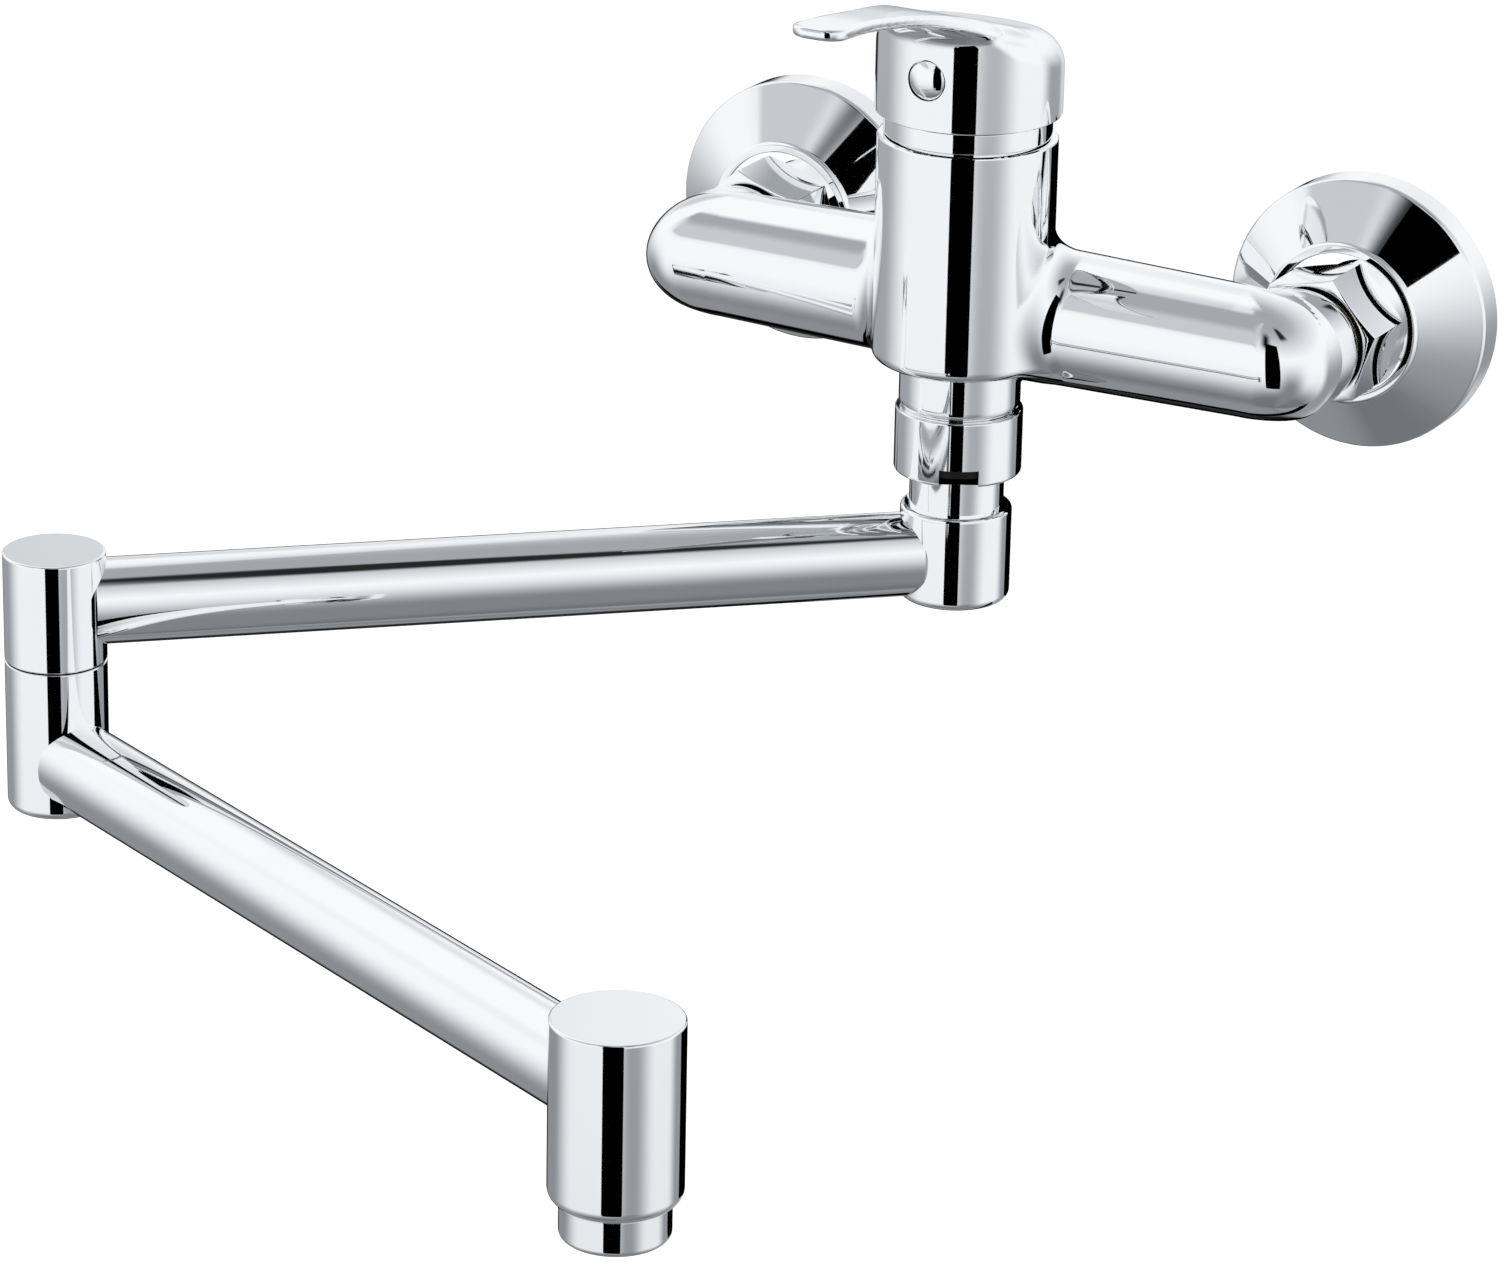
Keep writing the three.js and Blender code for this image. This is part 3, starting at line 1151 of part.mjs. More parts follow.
const outerArm = new THREE.Group();
outerArm.position.x = INNER_ARM_LENGTH;
outerArm.rotation.z = radians(OUTER_ARM_REST - INNER_ARM_REST);
outerArm.add(
  named('elbow_lower', elbowLower(), chrome()),
  named('elbow_o_ring_upper', elbowRing(ELBOW_RINGS[0]), rubber()),
  named('elbow_o_ring_lower', elbowRing(ELBOW_RINGS[1]), rubber()),
  named('elbow_snap_ring', snapRing(), steel()),
  named('outer_tube', armTube(OUTER_TUBE_HEIGHT, OUTER_ARM_LENGTH, ELBOW_RADIUS, HEAD_RADIUS), chrome()),
);
const head = new THREE.Group();
head.position.x = OUTER_ARM_LENGTH;
head.add(
  named('head_body', headBody(), chrome()),
  named('aerator_housing', aeratorHousing(), chrome()),
  named('aerator_core', aeratorCore(), whitePlastic()),
  named('aerator_washer', aeratorWasher(), rubber()),
);
outerArm.add(head);
innerArm.add(outerArm);

export default potFiller;
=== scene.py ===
"""Looks of the wall mounted pot filler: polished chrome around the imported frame. Sizes are written in mm."""
import json
import math

import bmesh
import bpy
import numpy as np
from mathutils import Matrix, Vector


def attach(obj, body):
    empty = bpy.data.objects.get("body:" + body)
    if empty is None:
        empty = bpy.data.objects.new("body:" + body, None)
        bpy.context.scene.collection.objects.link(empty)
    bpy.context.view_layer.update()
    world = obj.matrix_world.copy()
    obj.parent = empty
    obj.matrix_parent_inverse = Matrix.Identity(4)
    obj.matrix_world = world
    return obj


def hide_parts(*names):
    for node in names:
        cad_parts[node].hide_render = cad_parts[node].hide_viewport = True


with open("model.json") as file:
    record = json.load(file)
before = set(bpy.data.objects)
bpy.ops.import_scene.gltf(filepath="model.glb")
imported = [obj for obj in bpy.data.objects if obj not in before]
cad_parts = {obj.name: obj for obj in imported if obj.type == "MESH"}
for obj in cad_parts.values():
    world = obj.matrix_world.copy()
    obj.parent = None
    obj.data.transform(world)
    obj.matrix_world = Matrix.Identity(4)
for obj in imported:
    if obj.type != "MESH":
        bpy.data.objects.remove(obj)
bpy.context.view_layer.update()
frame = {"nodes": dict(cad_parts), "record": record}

MM = 0.001
AROUND = 96  # sides of a large turned piece
SMALL_AROUND = 64  # sides of a small one
TINY = 1e-9

# ---------------------------------------------------------------- sizes shared with the frame, mm
VALVE_Y = -64.2
INLET_X = 75.0
ARM_Y, ARM_Z = -52.0, 1.8
INNER_REST, OUTER_REST = math.radians(-138.02), math.radians(-24.04)
INNER_LENGTH, OUTER_LENGTH = 213.0, 224.2
ELBOW = Vector((INNER_LENGTH * math.cos(INNER_REST), VALVE_Y + INNER_LENGTH * math.sin(INNER_REST), 0))
HEAD = ELBOW + Vector((OUTER_LENGTH * math.cos(OUTER_REST), OUTER_LENGTH * math.sin(OUTER_REST), 0))


# ---------------------------------------------------------------- modelling, as by hand

def deselect():
    bpy.ops.object.select_all(action="DESELECT")


def pick(piece):
    deselect()
    piece.select_set(True)
    bpy.context.view_layer.objects.active = piece


def edit():
    bpy.ops.object.mode_set(mode="EDIT")


def leave():
    bpy.ops.object.mode_set(mode="OBJECT")


def settle(piece, turn=Matrix.Identity(4), place=(0, 0, 0)):
    """Turns and moves a piece, then puts its place in its mesh. Place is in mm."""
    pick(piece)
    piece.matrix_world = Matrix.Translation(Vector(place) * MM) @ turn @ piece.matrix_world
    bpy.ops.object.transform_apply(location=True, rotation=True, scale=True)
    return piece


def add_modifier(piece, kind, **settings):
    pick(piece)
    modifier = piece.modifiers.new(kind.lower(), kind)
    for key, value in settings.items():
        setattr(modifier, key, value)
    bpy.ops.object.modifier_apply(modifier=modifier.name)


def smooth(piece, angle=32):
    pick(piece)
    bpy.ops.object.shade_smooth_by_angle(angle=math.radians(angle))
    add_modifier(piece, "WEIGHTED_NORMAL", keep_sharp=True, weight=50)


ARC_STEP = math.radians(15)  # the longest step round a corner's arc


def rounded(corners):
    """A profile in mm whose corners (radius, height, round) are turned into arcs."""
    out = []
    count = len(corners)
    for i, corner in enumerate(corners):
        here = Vector(corner[:2])
        size = corner[2] if len(corner) > 2 else 0
        if not size:
            out.append(here)
            continue
        back = (Vector(corners[i - 1][:2]) - here).normalized()
        ahead = (Vector(corners[(i + 1) % count][:2]) - here).normalized()
        half = math.acos(max(-1, min(1, back.dot(ahead)))) / 2
        reach = size / math.tan(half)
        centre = here + (back + ahead).normalized() * size / math.sin(half)
        start, end = here + back * reach, here + ahead * reach
        a0 = math.atan2(*(start - centre).yx)
        sweep = math.atan2(*(end - centre).yx) - a0
        sweep = (sweep + math.pi) % (2 * math.pi) - math.pi
        steps = max(3, round(abs(sweep) / ARC_STEP))
        for k in range(steps + 1):
            a = a0 + sweep * k / steps
            out.append(centre + size * Vector((math.cos(a), math.sin(a))))
    return out


def turned(name, corners, sides=AROUND, loop=False):
    """Spins a profile about Z: a chain of vertices is extruded point by point, then spun a full turn."""
    points = rounded(corners)
    if loop:
        points.append(points[0])
    deselect()
    bpy.ops.mesh.primitive_plane_add(size=MM)
    piece = bpy.context.object
    piece.name = name
    edit()
    bpy.ops.mesh.select_mode(type="VERT")
    bpy.ops.mesh.merge(type="CENTER")
    bpy.ops.transform.translate(value=(points[0].x * MM, 0, points[0].y * MM))
    for a, b in zip(points, points[1:]):
        step = (b - a) * MM
        bpy.ops.mesh.extrude_vertices_move(TRANSFORM_OT_translate={"value": (step.x, 0, step.y)})
    bpy.ops.mesh.select_all(action="SELECT")
    bpy.ops.mesh.spin(steps=sides, angle=2 * math.pi, center=(0, 0, 0), axis=(0, 0, 1))
    bpy.ops.mesh.select_all(action="SELECT")
    bpy.ops.mesh.remove_doubles(threshold=2e-6)
    bpy.ops.mesh.normals_make_consistent(inside=False)
    if bmesh.from_edit_mesh(piece.data).calc_volume(signed=True) < 0:
        bpy.ops.mesh.flip_normals()
    leave()
    return piece


def joined(name, pieces):
    """Closed shells that run into each other, kept as one piece."""
    deselect()
    for piece in pieces:
        piece.select_set(True)
    bpy.context.view_layer.objects.active = pieces[0]
    bpy.ops.object.join()
    pieces[0].name = name
    return pieces[0]


def cut(base, *tools):
    for tool in tools:
        add_modifier(base, "BOOLEAN", object=tool, operation="DIFFERENCE", solver="EXACT")
        bpy.data.objects.remove(tool)
    return base


def soften(piece, width, steps, angle):
    """Rounds the edges that are sharper than an angle in degrees. Width is in mm."""
    limit = math.radians(angle)
    add_modifier(piece, "BEVEL", width=width * MM, segments=steps, limit_method="ANGLE", angle_limit=limit)


def rod(radius, low, high, place=(0, 0), sides=48, turn=Matrix.Identity(4)):
    """A plain round bar used as a start or a cutting tool."""
    deselect()
    bpy.ops.mesh.primitive_cylinder_add(
        vertices=sides, radius=radius * MM, depth=(high - low) * MM, location=(0, 0, (low + high) / 2 * MM)
    )
    return settle(bpy.context.object, turn, (*place, 0))


def box_tool(size, centre, turn=Matrix.Identity(4), place=(0, 0, 0)):
    deselect()
    bpy.ops.mesh.primitive_cube_add(size=MM, location=Vector(centre) * MM, scale=size)
    return settle(bpy.context.object, turn, place)


# ---------------------------------------------------------------- forms with flowing surfaces

def soft_union(a, b, size):
    u = np.hypot(np.maximum(size - a, 0), np.maximum(size - b, 0))
    return np.maximum(size, np.minimum(a, b)) - u


def soft_cut(a, b, size):
    u = np.hypot(np.maximum(size + a, 0), np.maximum(size + b, 0))
    return np.minimum(-size, np.maximum(a, b)) + u


FORM_STEP = 0.02  # mm, also how near the form a point counts as lying on it


def slope(field, p):
    """Which way, and how fast, the field grows at each point."""
    out = np.zeros_like(p)
    for k in range(3):
        d = np.zeros(3)
        d[k] = FORM_STEP
        out[:, k] = (field(p + d) - field(p - d)) / (2 * FORM_STEP)
    return out


def points_of(mesh):
    """The mesh's points in mm, one row each."""
    p = np.zeros(len(mesh.vertices) * 3)
    mesh.vertices.foreach_get("co", p)
    return p.reshape(-1, 3) / MM


FLATTEST = 0.05  # the least squared slope that a move is worked out from
LONGEST_MOVE = 1.5  # mm in one pass


def flow(piece, field, voxel, passes=8):
    """Remeshes a rough start evenly and draws its vertices on to the smooth form where field is 0."""
    add_modifier(piece, "REMESH", mode="VOXEL", voxel_size=voxel * MM)
    mesh = piece.data
    p = points_of(mesh)
    for _ in range(passes):
        g = slope(field, p)
        length = np.maximum((g * g).sum(1), FLATTEST)
        move = -(field(p) / length)[:, None] * g
        size = np.linalg.norm(move, axis=1, keepdims=True)
        p = p + move * np.minimum(1, LONGEST_MOVE / np.maximum(size, TINY))
    mesh.vertices.foreach_set("co", (p * MM).ravel())
    mesh.update()
    return piece


SAME_WAY = 0.85  # cosine above which a face follows the form's own direction


def flow_normals(piece, field):
    """Shades each face by the smooth form it lies on, and flat where it is a cut face."""
    pick(piece)
    mesh = piece.data
    bpy.ops.object.shade_smooth()
    point_at = np.zeros(len(mesh.loops), np.int64)
    mesh.loops.foreach_get("vertex_index", point_at)
    p = points_of(mesh)
    g = slope(field, p)
    g /= np.maximum(np.linalg.norm(g, axis=1, keepdims=True), TINY)
    face = np.zeros(len(mesh.polygons) * 3)
    mesh.polygons.foreach_get("normal", face)
    corners = np.zeros(len(mesh.polygons), np.int64)
    mesh.polygons.foreach_get("loop_total", corners)
    face = np.repeat(face.reshape(-1, 3), corners, axis=0)
    near = np.abs(field(p)) < FORM_STEP
    n = g[point_at]
    fits = (np.einsum("ij,ij->i", n, face) > SAME_WAY) & near[point_at]
    n = np.where(fits[:, None], n, face)
    mesh.normals_split_custom_set([tuple(v) for v in n])


WELD = 0.12  # mm, merges the short edges that a cut leaves


def slice_flat(piece, point, normal, insets=()):
    """Cuts a piece off flat at a plane, and finishes its edge with small inset steps (width, height)."""
    pick(piece)
    edit()
    bpy.ops.mesh.select_all(action="SELECT")
    bpy.ops.mesh.bisect(
        plane_co=Vector(point) * MM, plane_no=normal, use_fill=True, clear_outer=True, threshold=1e-7
    )
    bpy.ops.mesh.select_mode(type="FACE")
    bpy.ops.mesh.select_all(action="DESELECT")
    mesh = bmesh.from_edit_mesh(piece.data)
    mesh.faces.ensure_lookup_table()
    axis = Vector(normal).normalized()
    level = Vector(point).dot(axis) * MM
    for face in mesh.faces:
        in_plane = abs(face.calc_center_median().dot(axis) - level) < 1e-6
        face.select = in_plane and face.normal.dot(axis) > 0.999
    bmesh.update_edit_mesh(piece.data)
    for width, height in insets:
        bpy.ops.mesh.remove_doubles(threshold=WELD * MM)
        bpy.ops.mesh.inset(thickness=width * MM, depth=height * MM, use_even_offset=False)
    leave()


# Body of the mixer: barrel, side arms with rounded corners, and the outlet boss.
BARREL_R, BARREL_TOP, BARREL_BOTTOM, BARREL_EDGE = 21.07, 46.15, -8.4, 2.5
BOSS_R, BOSS_BOTTOM, BOSS_EDGE = 14.3, -20.3, 2.2
SPIGOT_R, SPIGOT_BOTTOM = 11.9, -24
CORNER_ROUND, CORNER_SPREAD = 7.3, 0.43
ARM_CORNER_R, ARM_WALL_R, INLET_FACE_R, INLET_FACE_Y = 15.2, 14.6, 13.2, -35.8
ARM_TAPER, WALL_RISE = 0.0172, 0.198
ARM_FILLET, BOSS_FILLET = 6.5, 0.8
FACE_EDGE = ((0.22, 0.38), (0.38, 0.22))  # inset steps round the barrel's top
AT_END = 1e-4  # how near 0 or 1 a share of the corner counts as past its end


def corner_station(x, y):
    """How far round the corner a point is, 0 at the wall side and 1 at the barrel side, and how far out."""
    def outs(turn):
        c, s = np.cos(turn), np.sin(turn)
        w1 = (x - INLET_X + CORNER_ROUND * (1 - c)) / (1 - CORNER_SPREAD * (1 - c))
        w2 = (-y + ARM_Y + CORNER_ROUND * (1 - s)) / (1 - CORNER_SPREAD * (1 - s))
        return w1, w2

    low = np.zeros_like(x)
    high = np.full_like(x, math.pi / 2)
    for _ in range(26):  # halves a right angle down to nothing
        middle = (low + high) / 2
        w1, w2 = outs(middle)
        up = w1 - w2 > 0
        high = np.where(up, middle, high)
        low = np.where(up, low, middle)
    turn = (low + high) / 2
    w1, w2 = outs(turn)
    out = np.where(turn > math.pi / 4, w2, w1)
    return turn / (math.pi / 2), out


def ease(t):
    t = np.clip(t, 0, 1)
    return t * t * (3 - 2 * t)


def arm_field(p):
    x, y, z = np.abs(p[:, 0]), p[:, 1], p[:, 2]
    share, out = corner_station(x, y)
    start = -ARM_Y - CORNER_ROUND + (1 - CORNER_SPREAD) * out
    along = np.clip((-y + INLET_FACE_Y) / np.maximum(start + INLET_FACE_Y, 0.3), 0, 1)
    wall = INLET_FACE_R + (ARM_WALL_R - INLET_FACE_R) * np.sqrt(along * (2 - along))
    corner = ARM_WALL_R + (ARM_CORNER_R - ARM_WALL_R) * share
    straight = ARM_TAPER * np.maximum(INLET_X - CORNER_ROUND - x, 0)
    radius = np.where(share < AT_END, wall, corner + np.where(share > 1 - AT_END, straight, 0))
    rise = ARM_Z * np.where(share < AT_END, WALL_RISE * ease(along), ease((share + 0.4) / 1.4))
    return np.hypot(out, z - rise) - radius


def body_field(p):
    rho = np.hypot(p[:, 0], p[:, 1] - VALVE_Y)
    z = p[:, 2]
    barrel = soft_cut(rho - BARREL_R, BARREL_BOTTOM - z, BARREL_EDGE)
    boss = soft_cut(rho - BOSS_R, BOSS_BOTTOM - z, BOSS_EDGE)
    neck = np.minimum(boss, rho - SPIGOT_R)
    whole = soft_union(barrel, arm_field(p), ARM_FILLET)
    return soft_union(whole, neck, BOSS_FILLET)


def make_valve_body():
    """Rough bars and balls, a little under or over size, that flow() draws on to the body's form."""
    upright = [
        rod(BARREL_R, BARREL_BOTTOM + 1, BARREL_TOP + 4, (0, VALVE_Y)),
        rod(14, -20, 0, (0, VALVE_Y)),
        rod(SPIGOT_R, -28, -18, (0, VALVE_Y)),
    ]
    along_x = Matrix.Rotation(math.pi / 2, 4, "Y")
    arm = rod(15.6, -INLET_X, INLET_X, turn=along_x)
    settle(arm, place=(0, ARM_Y, ARM_Z))
    along_y = Matrix.Rotation(math.pi / 2, 4, "X")
    ends = []
    for side in (-1, 1):
        stub = rod(14.2, 32, -ARM_Y, turn=along_y)
        ends.append(settle(stub, place=(side * INLET_X, 0, 0)))
        deselect()
        bpy.ops.mesh.primitive_uv_sphere_add(segments=32, ring_count=16, radius=15 * MM)
        ends.append(settle(bpy.context.object, place=(side * INLET_X, ARM_Y, 1)))
    body = joined("valve_body_polished", [*upright, arm, *ends])
    flow(body, body_field, 0.75)
    slice_flat(body, (0, 0, BARREL_TOP - 0.6), (0, 0, 1), FACE_EDGE)
    slice_flat(body, (0, 0, SPIGOT_BOTTOM), (0, 0, -1))
    slice_flat(body, (0, INLET_FACE_Y, 0), (0, 1, 0))
    flow_normals(body, body_field)
    return body


# Handle: a cap that flows into a narrow blade. Lines give heights and half widths by the reach from the axis.
CAP_R, CAP_BOTTOM = 21.8, 51.75
CAP_SPARE = 3  # length under the cap that is cut off flat at the end
CAP_EDGE = ((0.15, 0.25), (0.25, 0.15))
BLADE_START, BLADE_LENGTH, LEVER_TIP = 8, 67.5, 76.5
TIP_ROUND, BLADE_EDGE = 5.0, 1.1
BLADE_THICKNESS, ROOT_THICKENING = 2.7, 0.8
BUTTON_HEIGHT = 63.7
TOP_LINE = (
    (-22, 68.7), (-13, 70.6), (0, 73.2), (17, 78.6), (27, 81.4), (39, 84.0), (50, 85.8), (61, 87.4),
    (78, 88.9),
)
WIDTH_LINE = (
    (-30, 21.8), (5, 21.4), (10, 19.5), (14, 16.9), (18, 14.2), (22, 12.0), (27, 10.1), (35, 8.2), (42, 7.0),
    (50, 6.2), (58, 6.0), (67, 6.3), (78, 6.8),
)


def line_through(points):
    """A smooth curve through points: cubic pieces with matching slopes."""
    s = np.array([q[0] for q in points], float)
    v = np.array([q[1] for q in points], float)
    d = np.gradient(v, s)

    def at(t):
        i = np.clip(np.searchsorted(s, t) - 1, 0, len(s) - 2)
        h = s[i + 1] - s[i]
        u = np.clip((t - s[i]) / h, -0.5, 1.5)
        a, b = v[i], v[i + 1]
        return (
            a * (1 + 2 * u) * (1 - u) ** 2 + b * u * u * (3 - 2 * u)
            + h * (d[i] * u * (1 - u) ** 2 + d[i + 1] * u * u * (u - 1))
        )

    return at


top_line = line_through(TOP_LINE)
width_line = line_through(WIDTH_LINE)


def handle_field(p):
    x, s, z = p[:, 0], VALVE_Y - p[:, 1], p[:, 2]
    clipped = np.clip(s, -24, 80)
    rise = top_line(clipped + 0.5) - top_line(clipped - 0.5)
    flat = 1 / np.sqrt(1 + rise * rise)
    top = (z - top_line(clipped)) * flat
    cap = soft_cut(np.hypot(x, s) - CAP_R, CAP_BOTTOM - CAP_SPARE - z, 0.4)
    narrowing = width_line(s + 0.5) - width_line(s - 0.5)
    side = (np.abs(x) - width_line(s)) / np.sqrt(1 + narrowing * narrowing)
    plan = soft_cut(side, s - LEVER_TIP, TIP_ROUND)
    thickness = BLADE_THICKNESS + ROOT_THICKENING * ease((40 - s) / 20)
    blade = soft_cut(np.maximum(plan, 4 - s), -top - thickness, BLADE_EDGE)
    fillet = 0.3 + 5.5 * ease((s - 13) / 12)
    whole = soft_union(cap, blade, fillet)
    edge = BLADE_EDGE + 7.0 * ease((26 - s) / 16)
    return soft_cut(whole, top, edge)


FRONT = Matrix.Rotation(math.pi / 2, 4, "X")  # turns a piece made along +Z to point along -Y


def make_handle():
    cap = rod(CAP_R - 0.5, CAP_BOTTOM - CAP_SPARE, 84, (0, VALVE_Y))
    slice_flat(cap, (0, VALVE_Y, 72.6), (0, 0.23, 1))
    deselect()
    bpy.ops.mesh.primitive_grid_add(x_subdivisions=4, y_subdivisions=24, size=MM)
    blade = bpy.context.object
    for vertex in blade.data.vertices:
        s = BLADE_START + (vertex.co.y / MM + 0.5) * BLADE_LENGTH
        width = float(width_line(np.array([s]))[0]) - 0.4
        height = float(top_line(np.array([s]))[0]) - 0.3
        vertex.co = Vector((vertex.co.x * 2 * width, (VALVE_Y - s) * MM, height * MM))
    faces_up = blade.data.polygons[0].normal.z > 0
    add_modifier(blade, "SOLIDIFY", thickness=2.6 * MM, offset=-1 if faces_up else 1)
    handle = joined("lever_handle_polished", [cap, blade])
    flow(handle, handle_field, 0.55)
    slice_flat(handle, (0, 0, CAP_BOTTOM + 0.4), (0, 0, -1), CAP_EDGE)
    hollow = turned("hollow", (
        (0, 50), (20.4, 50), (20.4, 52), (20.1, 52.3), (20.1, 59), (17, 62), (0, 63)))
    settle(hollow, place=(0, VALVE_Y, 0))
    seat = turned("seat", ((0, 18), (4.8, 18), (4.8, 21.5), (5.4, 22.6), (0, 22.6)), sides=48)
    settle(seat, FRONT, (0, VALVE_Y, BUTTON_HEIGHT))
    cut(handle, hollow, seat)
    flow_normals(handle, handle_field)
    return handle


# ---------------------------------------------------------------- turned pieces

NUT_ACROSS = 28.9  # across the flats
NUT_LOW, NUT_HIGH = 16.2, 34.2
UNION_THREAD_R, WALL_THREAD_R, THREAD_PITCH = 12.3, 10.4, 1.8
UNION_OFFSET = -6
NUT_TURNS = {"left": 12, "right": -17}  # degrees, as the photograph shows the flats
NOTCH_WIDTH, NOTCH_TURN = 9.3, 29
TUBE_R = 10.04


def make_rose():
    outer = [(32.7, 0), (32.7, 7.3, 1.5), (19.4, 15.9, 1.2), (19.0, 16.9, 0.5), (17.1, 16.9, 0.4)]
    inner = [(17.1, 15.2, 0.3), (31.0, 6.2, 0.6), (31.0, 0)]
    return turned("rose", outer + inner, sides=128, loop=True)


def make_union_nut():
    """A hexagon whose corners are turned off at both ends."""
    flat = NUT_ACROSS / 2
    corner = NUT_ACROSS / 2 / math.cos(math.pi / 6)
    deselect()
    bpy.ops.mesh.primitive_cylinder_add(
        vertices=6, radius=corner * MM, depth=18 * MM, location=(0, 0, 25.2 * MM)
    )
    nut = bpy.context.object
    lathe = turned("lathe", (
        (0, NUT_LOW), (flat - 0.8, NUT_LOW), (corner + 0.6, 17.8), (corner + 0.6, 32.4),
        (flat - 0.7, NUT_HIGH), (0, NUT_HIGH)))
    add_modifier(nut, "BOOLEAN", object=lathe, operation="INTERSECT", solver="EXACT")
    bpy.data.objects.remove(lathe)
    bore = turned("bore", (
        (0, 15), (12.65, 15), (12.65, 31.1), (10.7, 31.1), (10.7, 33.7), (11.2, 35), (0, 35)), SMALL_AROUND)
    cut(nut, bore)
    soften(nut, 0.22, 3, 28)
    return nut


def thread(radius, low, high, depth):
    """Ridges of a thread along a turned profile, going down from high to low."""
    out = []
    height = high - THREAD_PITCH * 0.4
    while height > low + THREAD_PITCH:
        out += [
            (radius, height), (radius - depth, height - THREAD_PITCH / 2), (radius, height - THREAD_PITCH)
        ]
        height -= THREAD_PITCH
    return out


def make_eccentric_union():
    """The offset union: a front on the inlet's axis and a back beside it, joined behind the rose."""
    wall_thread = thread(WALL_THREAD_R, -15, 3, 1.0)
    back = turned("union_back", (
        (0, 12), (WALL_THREAD_R, 12), *wall_thread, (9.4, -15), (6.6, -15), (6.6, -2), (0, -2)), SMALL_AROUND)
    settle(back, place=(0, UNION_OFFSET, 0))
    nut_thread = reversed(thread(UNION_THREAD_R, 12, 26, 0.9))
    front = turned("union_front", (
        (0, 4), (UNION_THREAD_R, 4), (UNION_THREAD_R, 14), *nut_thread, (11.6, 26), (7.5, 26), (7.5, 20),
        (0, 20)), SMALL_AROUND)
    collar = rod(12.55, 8.0, 14.7, sides=60)
    lump = rod(12.2, 8.3, 14.3, (0, UNION_OFFSET), sides=62)
    return joined("eccentric_union", [front, back, collar, lump])


def make_inlet(side, word):
    place = (side * INLET_X, 0, 0)
    rose = make_rose()
    rose.name = f"rose_{word}_polished"
    nut = make_union_nut()
    nut.name = f"union_nut_{word}_polished"
    settle(nut, Matrix.Rotation(math.radians(NUT_TURNS[word]), 4, "Z"))
    union = make_eccentric_union()
    union.name = f"eccentric_union_{word}_polished"
    for piece, node in ((rose, "rose_"), (nut, "union_nut_"), (union, "eccentric_union_")):
        settle(piece, FRONT, place)
        smooth(piece)
        dress(piece, "wall_body", node + word)


def make_swivel_nut():
    nut = turned("swivel_nut_polished", (
        (11.5, -35.8, 0.3), (15.06, -35.8, 0.9), (15.06, -20.0, 0.5), (12.6, -20.0, 0.3), (12.6, -33),
        (13.8, -33), (13.8, -34.3), (11.5, -34.3)), loop=True)
    for half_turn in (0, math.pi):
        turn = Matrix.Rotation(math.radians(NOTCH_TURN) + half_turn, 4, "Z")
        cut(nut, box_tool((NOTCH_WIDTH, 5, 6), (0, -14.6, -34.6), turn))
    soften(nut, 0.2, 2, 50)
    return nut


def make_spout():
    """Turned pieces of the spout, each on its own axis, heights as in the frame."""
    pieces = {}
    pieces["spout_stem"] = turned("spout_stem_polished", (
        (5.6, -12), (8, -12, 0.5), (8, -29.8), (11.16, -30.1), (11.16, -31.9), (9.3, -31.9), (9.3, -34.4),
        (11.16, -34.4), (11.16, -44.6), (9, -44.6), (9, -48.3), (5.6, -48.3)), loop=True)
    pieces["pivot_body"] = turned("pivot_body_polished", (
        (0, -67.5), (13.2, -67.5, 2.2), (13.2, -44.3, 1.1), (9.4, -44.3), (9.4, -50), (0, -50)))
    pieces["elbow_upper"] = turned("elbow_upper_polished", (
        (0, -43.7), (11.83, -43.7, 0.55), (11.83, -69.7, 0.35), (8.3, -69.7), (8.3, -50), (0, -50)))
    pieces["elbow_lower"] = turned("elbow_lower_polished", (
        (0, -60), (7.9, -60), (7.9, -70.0), (11.83, -70.0, 0.35), (11.83, -106.2, 2.2), (0, -106.2)))
    pieces["head_body"] = turned("head_body_polished", (
        (0, -76.9), (14.37, -76.9, 0.6), (14.37, -117.8, 3.0), (12.25, -117.8, 0.25), (12.25, -113),
        (0, -113)), sides=112)
    pieces["aerator_housing"] = turned("aerator_housing_polished", (
        (9.0, -126.1, 0.4), (11.91, -126.1, 1.5), (11.91, -113.6), (9.9, -113.6), (9.9, -124.9),
        (9.0, -124.9)), loop=True)
    return pieces


def make_tube(name, start, end, height, inset_start, inset_end):
    """A straight tube whose ends run into the sockets they are soldered in."""
    along = end - start
    last = along.length - inset_end
    pipe = turned(name, ((0, inset_start), (TUBE_R, inset_start), (TUBE_R, last), (0, last)))
    turn = along.to_track_quat("Z", "Y").to_matrix().to_4x4()
    settle(pipe, turn, start + Vector((0, 0, height)))
    return pipe


# ---------------------------------------------------------------- materials

class Value:
    """A socket, or a number, that can stand in an expression."""

    def __init__(self, tree, socket):
        self.tree, self.socket = tree, socket

    def _math(self, operation, *inputs):
        node = self.tree.nodes.new("ShaderNodeMath")
        node.operation = operation
        for slot, value in enumerate(inputs):
            if isinstance(value, Value):
                self.tree.links.new(value.socket, node.inputs[slot])
            else:
                node.inputs[slot].default_value = value
        return Value(self.tree, node.outputs[0])

    def __add__(self, other):
        return self._math("ADD", self, other)

    def __sub__(self, other):
        return self._math("SUBTRACT", self, other)

    def __rsub__(self, other):
        return self._math("SUBTRACT", other, self)

    def __mul__(self, other):
        return self._math("MULTIPLY", self, other)

    def __pow__(self, other):
        return self._math("POWER", self, other)

    __radd__, __rmul__ = __add__, __mul__


